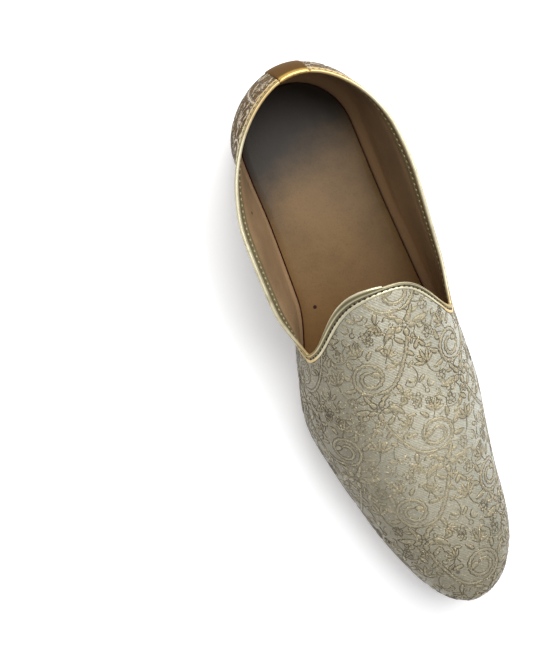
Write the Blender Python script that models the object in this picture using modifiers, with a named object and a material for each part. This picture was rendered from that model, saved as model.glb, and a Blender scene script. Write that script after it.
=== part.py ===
"""A mojari slip-on shoe for the right foot, built from a last.

Metres, +Z up. The toe points to -Y and the medial side is +X. The shoe stands on its heel and its forefoot at Z = 0.
A station is the distance from the widest line's rearmost point along the length, so the heel is at station 0.
"""

import math

import bmesh
import bpy
import numpy as np
from mathutils import Vector
from mathutils.bvhtree import BVHTree

# Overall sizes of the last, over the upper
LENGTH = 0.290
BALL_WIDTH = 0.091
INSTEP_HEIGHT = 0.072
BACK_HEIGHT = 0.060
HEEL_HEIGHT = 0.013
WIDEST_HEIGHT = 0.014

# Walls, layers and clearances
SOLE_THICKNESS = 0.005
INSOLE_THICKNESS = 0.0025
UPPER_WALL = 0.0022
TRIM_THICKNESS = 0.0008
GAP = 0.0003
INSOLE_CLEARANCE = 0.0006
FOLD_CLEARANCE = 0.0006

# The last's ends in plan, and its ridge
HEEL_ROUND = 0.034
TOE_ROUND = 0.055
TOE_SHIFT = 0.003
SWING_START = 0.55
RIDGE_SHIFT = 0.003
UNDERCUT = 0.0029

# Roundness: powers of the curves that round the ends, the cross-section, the collar's back and the throat
TOE_POWER = 2.3
HEEL_POWER = 2.1
CROWN_POWER = 2.3
CROWN_FALL = 0.7
COLLAR_POWER = 2.2
THROAT_POWER = 1.8
WALL_FULLNESS = 0.45

# The outsole stands in from the widest line, the heel block in from the outsole
SOLE_INSET = 0.0010
SOLE_SLANT = 0.0010
HEEL_INSET = 0.0004
HEEL_TAPER = 0.0010
HEEL_BREAST = 0.075

# The top edge: where its notches lie, how far the throat reaches back between them, and the collar's back
MEDIAL_NOTCH = 0.136
LATERAL_NOTCH = 0.136
THROAT_REACH = 0.0215
BACK_LEAN = 0.012
BACK_ROUND = 0.040
NOTCH_ROUND = 0.003

# Gold trim
BINDING_OUTSIDE = 0.0040
BINDING_INSIDE = 0.0050
STRAP_WIDTH = 0.0145
STRAP_INSIDE = 0.011
STRAP_OVER_SOLE = 0.0015

# Sections of the last. Lengths are shares: along of LENGTH, medial and lateral half widths of BALL_WIDTH,
# lift of HEEL_HEIGHT, ridge of INSTEP_HEIGHT, widest (the height of the widest line) of WIDEST_HEIGHT.
SECTION_COLUMNS = ("along", "medial", "lateral", "lift", "ridge", "widest")
SECTIONS = (
    (0.00, 0.345, 0.350, 1.00, 1.31, 1.25),
    (0.12, 0.364, 0.395, 0.97, 1.34, 1.20),
    (0.25, 0.389, 0.378, 0.82, 1.25, 1.10),
    (0.38, 0.432, 0.374, 0.47, 1.13, 1.00),
    (0.50, 0.470, 0.463, 0.14, 0.98, 0.95),
    (0.60, 0.478, 0.522, 0.00, 0.86, 0.90),
    (0.70, 0.440, 0.472, 0.00, 0.74, 0.85),
    (0.80, 0.404, 0.396, 0.05, 0.61, 0.80),
    (0.90, 0.387, 0.324, 0.28, 0.51, 0.75),
    (1.00, 0.383, 0.286, 0.68, 0.42, 0.70),
)

# The collar from its back to just behind the notches: along of the notch's station, half widths of BALL_WIDTH,
# height of BACK_HEIGHT over the bed. The notches themselves lie on the last, at these shares of its half width.
COLLAR_COLUMNS = ("along", "medial", "lateral", "height")
COLLAR = (
    (0.065, 0.325, 0.320, 1.00),
    (0.255, 0.383, 0.405, 0.91),
    (0.535, 0.440, 0.506, 0.83),
    (0.800, 0.436, 0.490, 0.79),
)
MEDIAL_NOTCH_SHARE = 0.86
LATERAL_NOTCH_SHARE = 0.91

# How far in front of the notch, along the outline, its column meets the sole
NOTCH_LEAD = 0.008

# How many columns and rows the pieces have, and how they are spread
QUARTER_COLUMNS = 24
VAMP_COLUMNS = 24
UNDERCUT_ROWS = 3
WALL_ROWS = 12
BLEND_COLUMNS = 9
SPREAD = 1.25
DENSE = 400
TRIM_STEP = 0.0045
FAN = 0.006
HEADING_REACH = 0.002
SOLE_STATIONS = 40
HEEL_STATIONS = 14
SOLE_ROWS = 5
MERGE = 1e-6
SMOOTH_ANGLE = math.radians(40)

MEDIAL = 1
LATERAL = -1


def table_column(rows, columns, name):
    """One named column of a table, as an array."""
    return np.array([row[columns.index(name)] for row in rows])


def smooth_curve(knots, values, at):
    """Monotone cubic through the knots, flat between equal values."""
    span = np.diff(knots)
    slope = np.diff(values) / span
    turn = slope[:-1] * slope[1:]
    total = np.where(slope[:-1] + slope[1:] == 0, 1, slope[:-1] + slope[1:])
    tangent = np.concatenate(([slope[0]], np.where(turn > 0, 2 * turn / total, 0), [slope[-1]]))
    at = np.asarray(at, float)
    left = np.clip(np.searchsorted(knots, at, side="right") - 1, 0, len(span) - 1)
    width = span[left]
    t = (at - knots[left]) / width
    rise = 3 * t**2 - 2 * t**3
    start = t**3 - 2 * t**2 + t
    finish = t**3 - t**2
    ends = values[left] * (1 - rise) + values[left + 1] * rise
    return ends + width * (start * tangent[left] + finish * tangent[left + 1])


def section(name, station):
    """A column of SECTIONS read at a station, as a share."""
    knots = table_column(SECTIONS, SECTION_COLUMNS, "along")
    values = table_column(SECTIONS, SECTION_COLUMNS, name)
    return smooth_curve(knots, values, np.clip(np.asarray(station) / LENGTH, 0, 1))


def side_name(side):
    """The name of a side's columns in the tables."""
    return "medial" if side == MEDIAL else "lateral"


def sole_lift(station):
    """Height of the outsole's underside over the ground."""
    return HEEL_HEIGHT * section("lift", station)


def bed(station):
    """Height of the outsole's top face."""
    return sole_lift(station) + SOLE_THICKNESS


def centre_line(station):
    """X of the last's centre line, which swings to the big toe."""
    return TOE_SHIFT * np.clip((np.asarray(station) / LENGTH - SWING_START) / (1 - SWING_START), 0, 1) ** 2


def toe_rounding(station):
    """How much of its width the last keeps as its toe rounds off."""
    into = np.clip((np.asarray(station) - (LENGTH - TOE_ROUND)) / TOE_ROUND, 0, 1)
    return np.sqrt(np.clip(1 - into**TOE_POWER, 0, 1))


def heel_rounding(station):
    """How much of its width the last keeps as its heel rounds off."""
    into = np.clip((HEEL_ROUND - np.asarray(station)) / HEEL_ROUND, 0, 1)
    return np.sqrt(np.clip(1 - into**HEEL_POWER, 0, 1))


def half_width(station, side):
    """Half width of the widest line in plan, from the centre line."""
    width = BALL_WIDTH * section(side_name(side), station)
    return width * toe_rounding(station) * heel_rounding(station)


def plan_line(side, stations, inset):
    """The widest line on one side moved inwards by inset, as X and station."""
    across = centre_line(stations) + side * half_width(stations, side)
    line = np.stack([across, stations], axis=1)
    ahead = np.gradient(line, axis=0)
    ahead[0] = (side, 0)
    ahead[-1] = (-side, 0)
    ahead /= np.linalg.norm(ahead, axis=1)[:, None]
    outward = np.stack([side * ahead[:, 1], -side * ahead[:, 0]], axis=1)
    return line - inset * outward


def end_spaced(start, finish, count):
    """Stations crowded towards both ends, where the outline turns."""
    return start + (finish - start) * (1 - np.cos(np.pi * np.arange(count + 1) / count)) / 2


def last_height(across, station):
    """Height of the last over a plan point inside its widest line."""
    medial = half_width(station, MEDIAL)
    lateral = half_width(station, LATERAL)
    offset = across - centre_line(station)
    share = offset / np.maximum(np.where(offset > 0, medial, lateral), MERGE)
    share = np.clip(share, -1, 1)
    share = np.clip(share - RIDGE_SHIFT / (BALL_WIDTH / 2) * (1 - share**2), -1, 1)
    widest = WIDEST_HEIGHT * section("widest", station)
    ridge = INSTEP_HEIGHT * section("ridge", station)
    crown = (ridge - widest) * toe_rounding(station) ** CROWN_FALL
    return bed(station) + GAP + widest + crown * (1 - np.abs(share) ** CROWN_POWER) ** (1 / CROWN_POWER)


def to_space(across, station, height):
    """World points: the toe points to -Y."""
    return np.stack([across, LENGTH / 2 - station, height], axis=-1)


def along_line(points):
    """Distance of each point along its line."""
    steps = np.linalg.norm(np.diff(points, axis=0), axis=1)
    return np.concatenate(([0], np.cumsum(steps)))


def read_line(points, distance):
    """Points of a line at given distances along it."""
    run = along_line(points)
    return np.stack([np.interp(distance, run, points[:, i]) for i in range(points.shape[1])], axis=1)


def even_line(points, count):
    """The line again, as evenly spaced points."""
    return read_line(points, np.linspace(0, along_line(points)[-1], count))


def notch_station(side):
    """Where along the shoe the side's notch lies."""
    return MEDIAL_NOTCH if side == MEDIAL else LATERAL_NOTCH


def notch_across(side):
    """X of the side's notch, on the last."""
    share = MEDIAL_NOTCH_SHARE if side == MEDIAL else LATERAL_NOTCH_SHARE
    station = notch_station(side)
    return float(centre_line(station) + side * share * half_width(station, side))


def collar_line(side):
    """The top edge from the centre of the back to the notch."""
    station = BACK_LEAN + (notch_station(side) - BACK_LEAN) * np.linspace(0, 1, DENSE) ** 1.5
    notch = notch_station(side)
    floor = float(bed(notch)) + GAP
    notch_height = float(last_height(np.array(notch_across(side)), np.array(notch))) - floor
    knots = np.append(table_column(COLLAR, COLLAR_COLUMNS, "along") * notch, notch)
    widths = np.append(
        table_column(COLLAR, COLLAR_COLUMNS, side_name(side)) * BALL_WIDTH, abs(notch_across(side))
    )
    heights = np.append(table_column(COLLAR, COLLAR_COLUMNS, "height") * BACK_HEIGHT, notch_height)
    into = np.clip(1 - (station - BACK_LEAN) / BACK_ROUND, 0, 1)
    width = smooth_curve(knots, widths, station) * np.sqrt(np.clip(1 - into**COLLAR_POWER, 0, 1))
    height = bed(station) + GAP + smooth_curve(knots, heights, np.maximum(station, knots[0]))
    return to_space(side * width, station, height)


def throat_line(side):
    """The top edge from the notch to the middle of the throat."""
    medial = notch_across(MEDIAL)
    lateral = notch_across(LATERAL)
    share = side * np.linspace(1, 0, DENSE)
    across = (medial + lateral) / 2 + (medial - lateral) / 2 * share
    chord = (MEDIAL_NOTCH + LATERAL_NOTCH) / 2 + (MEDIAL_NOTCH - LATERAL_NOTCH) / 2 * share
    station = chord - THROAT_REACH * np.cos(np.pi / 2 * np.abs(share) ** THROAT_POWER) ** 2
    return to_space(across, station, last_height(across, station))


def top_edge(side):
    """The whole top edge on one side with its notch rounded, and the distance to the notch."""
    collar = collar_line(side)
    line = np.concatenate([collar, throat_line(side)[1:]])
    count = 2 * DENSE
    step = along_line(line)[-1] / (count - 1)
    line = even_line(line, count)
    reach = max(1, round(NOTCH_ROUND / step))
    before = 2 * line[0] - line[reach:0:-1]
    after = 2 * line[-1] - line[-2:-reach - 2:-1]
    padded = np.concatenate([before, line, after])
    window = np.hanning(2 * reach + 3)[1:-1]
    window /= window.sum()
    rounded = np.stack([np.convolve(padded[:, i], window, mode="valid") for i in range(3)], axis=1)
    return rounded, along_line(collar)[-1]


def column_positions(side):
    """Plan points on the widest line and points on the top edge, for each column from heel to toe."""
    outline = plan_line(side, end_spaced(0, LENGTH, DENSE), 0)
    edge, edge_notch = top_edge(side)
    run = along_line(outline)
    outline_notch = float(np.interp(notch_station(side) + NOTCH_LEAD, outline[:, 1], run))
    quarter = 1 - (1 - np.arange(QUARTER_COLUMNS) / QUARTER_COLUMNS) ** SPREAD
    vamp = np.arange(VAMP_COLUMNS + 1) / VAMP_COLUMNS
    edge_run = along_line(edge)[-1]
    low = np.concatenate([quarter * outline_notch, outline_notch + vamp * (run[-1] - outline_notch)])
    high = np.concatenate([quarter * edge_notch, edge_notch + vamp * (edge_run - edge_notch)])
    return low, read_line(edge, high)


def column_curve(widest, top, over_last):
    """One column from the widest line to the top edge. over_last is 1 where it lies on the last, 0 on a free wall."""
    t = np.linspace(0, 1, DENSE)[:, None]
    control = np.array([widest[0], widest[1], widest[2] + WALL_FULLNESS * (top[2] - widest[2])])
    wall = (1 - t) ** 2 * widest + 2 * t * (1 - t) * control + t**2 * top
    wall = even_line(wall, DENSE)
    if over_last == 0:
        return wall
    spaced = t**2
    flat = widest[:2] + (top[:2] - widest[:2]) * spaced
    height = last_height(flat[:, 0], LENGTH / 2 - flat[:, 1])
    height += (top[2] - height[-1]) * spaced[:, 0] ** 2
    draped = even_line(np.column_stack([flat, height]), DENSE)
    return wall * (1 - over_last) + draped * over_last


def upper_side(side):
    """The outer surface on one side, as columns from heel to toe of rows from the sole to the top edge."""
    low, top = column_positions(side)
    stations = end_spaced(0, LENGTH, DENSE)
    outline = plan_line(side, stations, 0)
    inner = plan_line(side, stations, UNDERCUT)
    run = along_line(outline)
    columns = []
    for index, distance in enumerate(low):
        plan = np.array([np.interp(distance, run, outline[:, i]) for i in range(2)])
        foot = np.array([np.interp(distance, run, inner[:, i]) for i in range(2)])
        widest_height = WIDEST_HEIGHT * float(section("widest", plan[1]))
        rows = []
        for row in range(UNDERCUT_ROWS):
            t = row / UNDERCUT_ROWS
            across, station = foot + (plan - foot) * (3 * t**2 - 2 * t**3)
            height = float(bed(station)) + GAP + widest_height * t
            rows.append(to_space(across, station, height))
        widest = to_space(plan[0], plan[1], float(bed(plan[1])) + GAP + widest_height)
        into = np.clip((index - QUARTER_COLUMNS) / BLEND_COLUMNS, 0, 1)
        curve = column_curve(widest, top[index], 3 * into**2 - 2 * into**3)
        length = along_line(curve)[-1]
        shares = (np.arange(WALL_ROWS + 1) / WALL_ROWS) ** SPREAD
        rows.extend(read_line(curve, shares * length))
        columns.append(rows)
    return np.array(columns)


def upper_surface():
    """The outer surface all round: heel, medial side, toe, lateral side."""
    medial = upper_side(MEDIAL)
    lateral = upper_side(LATERAL)
    return np.concatenate([medial, lateral[-2:0:-1]])


def mesh_from(name, points, faces):
    mesh = bpy.data.meshes.new(name)
    mesh.from_pydata([tuple(map(float, point)) for point in points], [], faces)
    mesh.update()
    return mesh


def grid_faces(columns, rows, closed):
    """Quads of a grid, facing away from the inside for columns that run clockwise seen from above."""
    faces = []
    for column in range(columns if closed else columns - 1):
        following = (column + 1) % columns
        for row in range(rows - 1):
            here = column * rows + row
            there = following * rows + row
            faces.append((here, here + 1, there + 1, there))
    return faces


def solid_between(name, front, back):
    """A closed body between two grids of the same size."""
    columns, rows = front.shape[:2]
    count = columns * rows
    faces = grid_faces(columns, rows, False)
    faces += [tuple(count + i for i in reversed(face)) for face in faces]
    border = [(c, 0) for c in range(columns)]
    border += [(columns - 1, r) for r in range(1, rows)]
    border += [(c, rows - 1) for c in range(columns - 2, -1, -1)]
    border += [(0, r) for r in range(rows - 2, 0, -1)]
    ring = [c * rows + r for c, r in border]
    for here, there in zip(ring, ring[1:] + ring[:1]):
        faces.append((here, there, count + there, count + here))
    points = np.concatenate([front.reshape(-1, 3), back.reshape(-1, 3)])
    mesh = mesh_from(name, points, faces)
    model = bmesh.new()
    model.from_mesh(mesh)
    bmesh.ops.remove_doubles(model, verts=model.verts, dist=MERGE)
    bmesh.ops.dissolve_degenerate(model, dist=MERGE, edges=model.edges)
    bmesh.ops.recalc_face_normals(model, faces=model.faces)
    model.to_mesh(mesh)
    model.free()
    return mesh


def slab(name, stations, top_inset, bottom_inset, top_height, bottom_height):
    """A flat layer between the two sides' plan lines, with its faces at heights read at each station."""
    shares = np.linspace(0, 1, SOLE_ROWS)
    grids = []
    for inset, height in ((top_inset, top_height), (bottom_inset, bottom_height)):
        medial = plan_line(MEDIAL, stations, inset)
        lateral = plan_line(LATERAL, stations, inset)
        plan = medial[:, None] + (lateral - medial)[:, None] * shares[None, :, None]
        grids.append(to_space(plan[..., 0], plan[..., 1], height(plan[..., 1])))
    return solid_between(name, grids[0], grids[1])


def outsole_mesh():
    """The thin sole, a little smaller below than above."""
    stations = end_spaced(0, LENGTH, SOLE_STATIONS)
    bottom_inset = SOLE_INSET + SOLE_SLANT
    return slab("outsole", stations, SOLE_INSET, bottom_inset, bed, sole_lift)


def insole_mesh():
    """The sock on its board, inside the upper's lower edge."""
    stations = end_spaced(0, LENGTH, SOLE_STATIONS)
    inset = UNDERCUT + UPPER_WALL + INSOLE_CLEARANCE

    def underside(station):
        return bed(station) + GAP

    def top(station):
        return bed(station) + GAP + INSOLE_THICKNESS

    return slab("insole", stations, inset, inset, top, underside)


def heel_mesh():
    """The low heel block, level below and under the sole's slope above."""
    quarter_turn = np.pi / 2 * np.arange(HEEL_STATIONS + 1) / HEEL_STATIONS
    stations = HEEL_BREAST * (1 - np.cos(quarter_turn))
    top_inset = SOLE_INSET + SOLE_SLANT + HEEL_INSET

    def top(station):
        return sole_lift(station) - GAP

    return heel_block(stations, top_inset, top)


def heel_block(stations, top_inset, top):
    """The heel's plan lines end at the breast, so only their first point turns the end."""
    grids = []
    shares = np.linspace(0, 1, SOLE_ROWS)
    for inset, height in ((top_inset, top), (top_inset + HEEL_TAPER, np.zeros_like)):
        lines = []
        for side in (MEDIAL, LATERAL):
            whole = plan_line(side, np.append(stations, HEEL_BREAST + 0.01), inset)[:-1]
            whole[-1, 1] = HEEL_BREAST
            lines.append(whole)
        plan = lines[0][:, None] + (lines[1] - lines[0])[:, None] * shares[None, :, None]
        grids.append(to_space(plan[..., 0], plan[..., 1], height(plan[..., 1])))
    return solid_between("heel", grids[0], grids[1])


def surface_tree(surface):
    """The upper's outer surface, for nearest places."""
    columns, rows = surface.shape[:2]
    points = [Vector(point) for point in surface.reshape(-1, 3)]
    return BVHTree.FromPolygons(points, grid_faces(columns, rows, True))


def rim_line(surface):
    """The upper's top edge as a closed line, from the centre of the back along the medial side and round."""
    rim = surface[:, -1]
    return np.concatenate([rim, rim[:1]])


def in_section(normal, ahead):
    """A face's normal laid in the strip's cross-section, so that a step along it rises by the step over the face."""
    flat = normal - ahead * normal.dot(ahead)
    return flat / flat.length_squared


def walk_down(skin, start, ahead, depths):
    """Points and risers on the upper's outer surface, at depths below a point of its top edge."""
    here, normal, _, _ = skin.find_nearest(start)
    down = normal.cross(ahead).normalized()
    points = [here.copy()]
    risers = [in_section(normal, ahead)]
    for depth, before in zip(depths[1:], depths[:-1]):
        here, normal, _, _ = skin.find_nearest(here + down * (depth - before))
        down = normal.cross(ahead).normalized()
        points.append(here.copy())
        risers.append(in_section(normal, ahead))
    return points, risers


def inside_wall(wall, ahead, point, riser, proud):
    """The place that stands proud of the upper's inner face, across the wall from a point of its outer face."""
    start = point - riser * UPPER_WALL / 4
    place, facing, _, _ = wall.ray_cast(start, -riser)
    return place + in_section(facing, ahead) * proud


def folded_strip(name, skin, wall, edge, distances, outside, inside):
    """Leather folded over the top edge, at the given distances along it, with depths outside and inside."""
    run = along_line(edge)
    outer_grid = []
    inner_grid = []
    for distance in distances:
        steer = parallel_to_strap(distance, run[-1])
        span = [steer - HEADING_REACH, distance, steer + HEADING_REACH]
        before, here, after = (Vector(point) for point in read_wrapped(edge, run, span))
        ahead = (after - before).normalized()
        points, risers = walk_down(skin, here, ahead, outside)
        inner_points, inner_risers = walk_down(skin, here, ahead, inside)
        up = ahead.cross(risers[0]).normalized()
        layers = []
        for layer in (TRIM_THICKNESS, 0):
            proud = GAP + layer
            within = FOLD_CLEARANCE + layer
            out = [p + riser * proud for p, riser in zip(points[1:], risers[1:])]
            back = [inside_wall(wall, ahead, p, r, within) for p, r in zip(inner_points[1:], inner_risers[1:])]
            rim_out = points[0] + risers[0] * proud + up * within
            rim_in = inside_wall(wall, ahead, points[0] - up * UPPER_WALL / 4, risers[0], within)
            rim_in += up * (UPPER_WALL / 4 + within)
            layers.append(out[::-1] + [rim_out, rim_in] + back)
        outer_grid.append(layers[0])
        inner_grid.append(layers[1])
    return solid_between(name, np.array(outer_grid), np.array(inner_grid))


def parallel_to_strap(distance, whole):
    """The place whose heading a cross-section takes: the binding's ends are cut parallel to the strap's sides."""
    for side in (STRAP_WIDTH / 2, whole - STRAP_WIDTH / 2):
        if abs(distance - side) < 2 * GAP:
            return side
    return distance


def read_wrapped(points, run, distance):
    """Points of a closed line at distances that may run past its start."""
    wrapped = np.mod(distance, run[-1])
    return np.stack([np.interp(wrapped, run, points[:, i]) for i in range(3)], axis=1)


def binding_distances(edge):
    """Places along the edge, closer where it turns, from one side of the strap to the other."""
    run = along_line(edge)
    start = STRAP_WIDTH / 2 + GAP
    corners = run[(run > start + TRIM_STEP / 4) & (run < run[-1] - start - TRIM_STEP / 4)]
    places = np.concatenate(([start], corners, [run[-1] - start]))
    bends = edge_turn(edge, run, places)
    distances = [places[0]]
    for index in range(len(places) - 1):
        reach = places[index + 1] - places[index]
        pieces = math.ceil((reach + FAN * (bends[index] + bends[index + 1])) / TRIM_STEP)
        distances.extend(places[index] + reach * np.arange(1, pieces + 1) / pieces)
    return distances


def edge_turn(edge, run, places):
    """How far the edge turns near each place."""
    shifts = (-HEADING_REACH, 0, HEADING_REACH)
    before, here, after = (read_wrapped(edge, run, places + shift) for shift in shifts)
    ahead = (after - here) / np.linalg.norm(after - here, axis=1)[:, None]
    behind = (here - before) / np.linalg.norm(here - before, axis=1)[:, None]
    return np.arccos(np.clip((ahead * behind).sum(axis=1), -1, 1))


def binding_mesh(skin, wall, edge):
    """Gold leather over the whole top edge but the strap's width."""
    outside = np.linspace(0, BINDING_OUTSIDE, 4)
    inside = np.linspace(0, BINDING_INSIDE, 3)
    return folded_strip("collar_binding", skin, wall, edge, binding_distances(edge), outside, inside)


def strap_mesh(skin, wall, edge, back_column):
    """The strap runs from just over the sole up the back, over the collar and down inside."""
    distances = np.linspace(-STRAP_WIDTH / 2, STRAP_WIDTH / 2, 5)
    depth = along_line(back_column)[-1] - STRAP_OVER_SOLE
    outside = np.linspace(0, depth, 12)
    inside = np.linspace(0, STRAP_INSIDE, 4)
    return folded_strip("heel_strap", skin, wall, edge, distances, outside, inside)


def principled(name, colour, roughness, metallic):
    material = bpy.data.materials.new(name)
    material.use_nodes = True
    shader = material.node_tree.nodes["Principled BSDF"]
    shader.inputs["Base Color"].default_value = (*colour, 1)
    shader.inputs["Roughness"].default_value = roughness
    shader.inputs["Metallic"].default_value = metallic
    material.diffuse_color = (*colour, 1)
    return material


def add_piece(collection, root, mesh, material):
    piece = bpy.data.objects.new(mesh.name, mesh)
    mesh.materials.append(material)
    mesh.shade_smooth()
    mesh.set_sharp_from_angle(angle=SMOOTH_ANGLE)
    collection.objects.link(piece)
    piece.parent = root
    return piece


def add_wall(piece):
    """Gives the upper's open outer surface its wall, inwards."""
    wall = piece.modifiers.new("wall", "SOLIDIFY")
    wall.thickness = UPPER_WALL
    wall.offset = -1
    wall.use_even_offset = True
    wall.use_rim = True


def stand_over_origin(root, pieces):
    """Moves the shoe so that the origin is at the bottom centre of its box."""
    bpy.context.view_layer.update()
    graph = bpy.context.evaluated_depsgraph_get()
    corners = []
    for piece in pieces:
        shape = piece.evaluated_get(graph)
        corners += [shape.matrix_world @ Vector(corner) for corner in shape.bound_box]
    for axis in (0, 1):
        values = [corner[axis] for corner in corners]
        root.location[axis] = -(min(values) + max(values)) / 2
    bpy.context.view_layer.update()


def build():
    """Makes every piece in the collection mojari_shoe, under one root."""
    for thing in list(bpy.data.objects):
        bpy.data.objects.remove(thing)
    collection = bpy.data.collections.new("mojari_shoe")
    bpy.context.scene.collection.children.link(collection)
    root = bpy.data.objects.new("shoe", None)
    collection.objects.link(root)

    gold = principled("gold_leather", (0.72, 0.60, 0.36), 0.35, 0.75)
    surface = upper_surface()
    skin = surface_tree(surface)
    edge = rim_line(surface)
    columns, rows = surface.shape[:2]
    upper_mesh = mesh_from("upper", surface.reshape(-1, 3), grid_faces(columns, rows, True))
    upper = add_piece(collection, root, upper_mesh, principled("brocade", (0.53, 0.49, 0.38), 0.55, 0.1))
    add_wall(upper)
    wall = BVHTree.FromObject(upper, bpy.context.evaluated_depsgraph_get())
    pieces = [
        upper,
        add_piece(collection, root, outsole_mesh(), principled("sole_tan", (0.20, 0.11, 0.06), 0.6, 0)),
        add_piece(collection, root, heel_mesh(), principled("heel_tan", (0.16, 0.09, 0.05), 0.6, 0)),
        add_piece(collection, root, insole_mesh(), principled("insole_tan", (0.19, 0.11, 0.06), 0.5, 0)),
        add_piece(collection, root, binding_mesh(skin, wall, edge), gold),
        add_piece(collection, root, strap_mesh(skin, wall, edge, surface[0]), gold),
    ]
    stand_over_origin(root, pieces)


if __name__ == "__main__":
    build()
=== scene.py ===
"""A mojari slip-on for the right foot: brocade, gold trim, lining and sole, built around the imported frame.

The toe points to -Y, the medial side is +X. The last's tables are the part's own, so the cloth lies on it.
"""

import math

import bpy
import numpy as np
from bpy.props import FloatProperty, FloatVectorProperty, PointerProperty
from mathutils import Matrix, Vector
from mathutils.bvhtree import BVHTree
from mathutils.geometry import barycentric_transform


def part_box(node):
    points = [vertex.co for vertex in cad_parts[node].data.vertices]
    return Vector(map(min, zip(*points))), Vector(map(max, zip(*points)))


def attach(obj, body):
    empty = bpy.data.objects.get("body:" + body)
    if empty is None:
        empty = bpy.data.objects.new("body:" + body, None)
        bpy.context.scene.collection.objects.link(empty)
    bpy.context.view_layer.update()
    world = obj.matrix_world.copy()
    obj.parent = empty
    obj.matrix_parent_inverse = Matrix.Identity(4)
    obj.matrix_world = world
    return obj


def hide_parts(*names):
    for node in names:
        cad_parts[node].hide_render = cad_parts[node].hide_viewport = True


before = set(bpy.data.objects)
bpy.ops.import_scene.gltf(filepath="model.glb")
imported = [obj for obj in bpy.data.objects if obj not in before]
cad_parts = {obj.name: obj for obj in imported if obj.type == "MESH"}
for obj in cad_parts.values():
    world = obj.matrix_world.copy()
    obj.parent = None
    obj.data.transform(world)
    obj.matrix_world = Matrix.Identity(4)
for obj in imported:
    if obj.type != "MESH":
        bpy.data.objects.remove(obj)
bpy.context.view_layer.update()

bl_info = {
    "name": "Mojari shoe",
    "version": (1, 0, 0),
    "blender": (4, 5, 0),
    "location": "View3D > Sidebar > Mojari",
    "description": "Brocade, gold trim, lining and sole of a slip-on mojari around its packed frame",
    "category": "Add Mesh",
}

# The last, as the part has it
LENGTH = 0.290
BALL_WIDTH = 0.091
INSTEP_HEIGHT = 0.072
BACK_HEIGHT = 0.060
HEEL_HEIGHT = 0.013
WIDEST_HEIGHT = 0.014
SOLE_THICKNESS = 0.005
INSOLE_THICKNESS = 0.0025
UPPER_WALL = 0.0022
GAP = 0.0003
INSOLE_CLEARANCE = 0.0006
HEEL_ROUND = 0.034
TOE_ROUND = 0.055
TOE_SHIFT = 0.003
SWING_START = 0.55
RIDGE_SHIFT = 0.003
UNDERCUT = 0.0029
TOE_POWER = 2.3
HEEL_POWER = 2.1
CROWN_POWER = 2.3
CROWN_FALL = 0.7
COLLAR_POWER = 2.2
THROAT_POWER = 1.8
WALL_FULLNESS = 0.45
SOLE_INSET = 0.0010
SOLE_SLANT = 0.0010
HEEL_INSET = 0.0004
HEEL_TAPER = 0.0010
HEEL_BREAST = 0.075
NOTCH = 0.136
THROAT_REACH = 0.0215
BACK_LEAN = 0.012
BACK_ROUND = 0.040
NOTCH_ROUND = 0.003
NOTCH_LEAD = 0.008
SPREAD = 1.25
BLEND_SHARE = 0.375
MEDIAL_NOTCH_SHARE = 0.86
LATERAL_NOTCH_SHARE = 0.91
SECTION_COLUMNS = ("along", "medial", "lateral", "lift", "ridge", "widest")
SECTIONS = (
    (0.00, 0.345, 0.350, 1.00, 1.31, 1.25),
    (0.12, 0.364, 0.395, 0.97, 1.34, 1.20),
    (0.25, 0.389, 0.378, 0.82, 1.25, 1.10),
    (0.38, 0.432, 0.374, 0.47, 1.13, 1.00),
    (0.50, 0.470, 0.463, 0.14, 0.98, 0.95),
    (0.60, 0.478, 0.522, 0.00, 0.86, 0.90),
    (0.70, 0.440, 0.472, 0.00, 0.74, 0.85),
    (0.80, 0.404, 0.396, 0.05, 0.61, 0.80),
    (0.90, 0.387, 0.324, 0.28, 0.51, 0.75),
    (1.00, 0.383, 0.286, 0.68, 0.42, 0.70),
)
COLLAR_COLUMNS = ("along", "medial", "lateral", "height")
COLLAR = (
    (0.065, 0.325, 0.320, 1.00),
    (0.255, 0.383, 0.405, 0.91),
    (0.535, 0.440, 0.506, 0.83),
    (0.800, 0.436, 0.490, 0.79),
)
MEDIAL = 1
LATERAL = -1

# How finely the pieces are cut
QUARTER_COLUMNS = 110
VAMP_COLUMNS = 110
UNDERCUT_ROWS = 6
WALL_ROWS = 54
DENSE = 500

# Soft troughs and ridges of the worn cloth, in millimetres: ends across, along and up, how wide, how high
CREASE_COLUMNS = ("x0", "s0", "z0", "x1", "s1", "z1", "width", "height")
CREASES = (
    (-24, 172, 58, 22, 168, 62, 5.0, -0.56),
    (-30, 181, 46, 14, 178, 60, 4.0, 0.40),
    (-32, 190, 42, 30, 187, 44, 5.5, -0.56),
    (-20, 203, 48, 26, 200, 44, 4.0, -0.35),
    (-42, 118, 40, -44, 140, 28, 6.0, -0.72),
    (41, 112, 42, 42, 136, 30, 6.0, -0.64),
    (-34, 60, 40, -36, 84, 30, 7.0, -0.64),
    (33, 56, 42, 35, 84, 32, 7.0, -0.56),
    (24, 246, 24, 12, 262, 26, 5.0, -0.72),
    (-14, 258, 20, 4, 268, 22, 4.0, -0.48),
)

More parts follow.
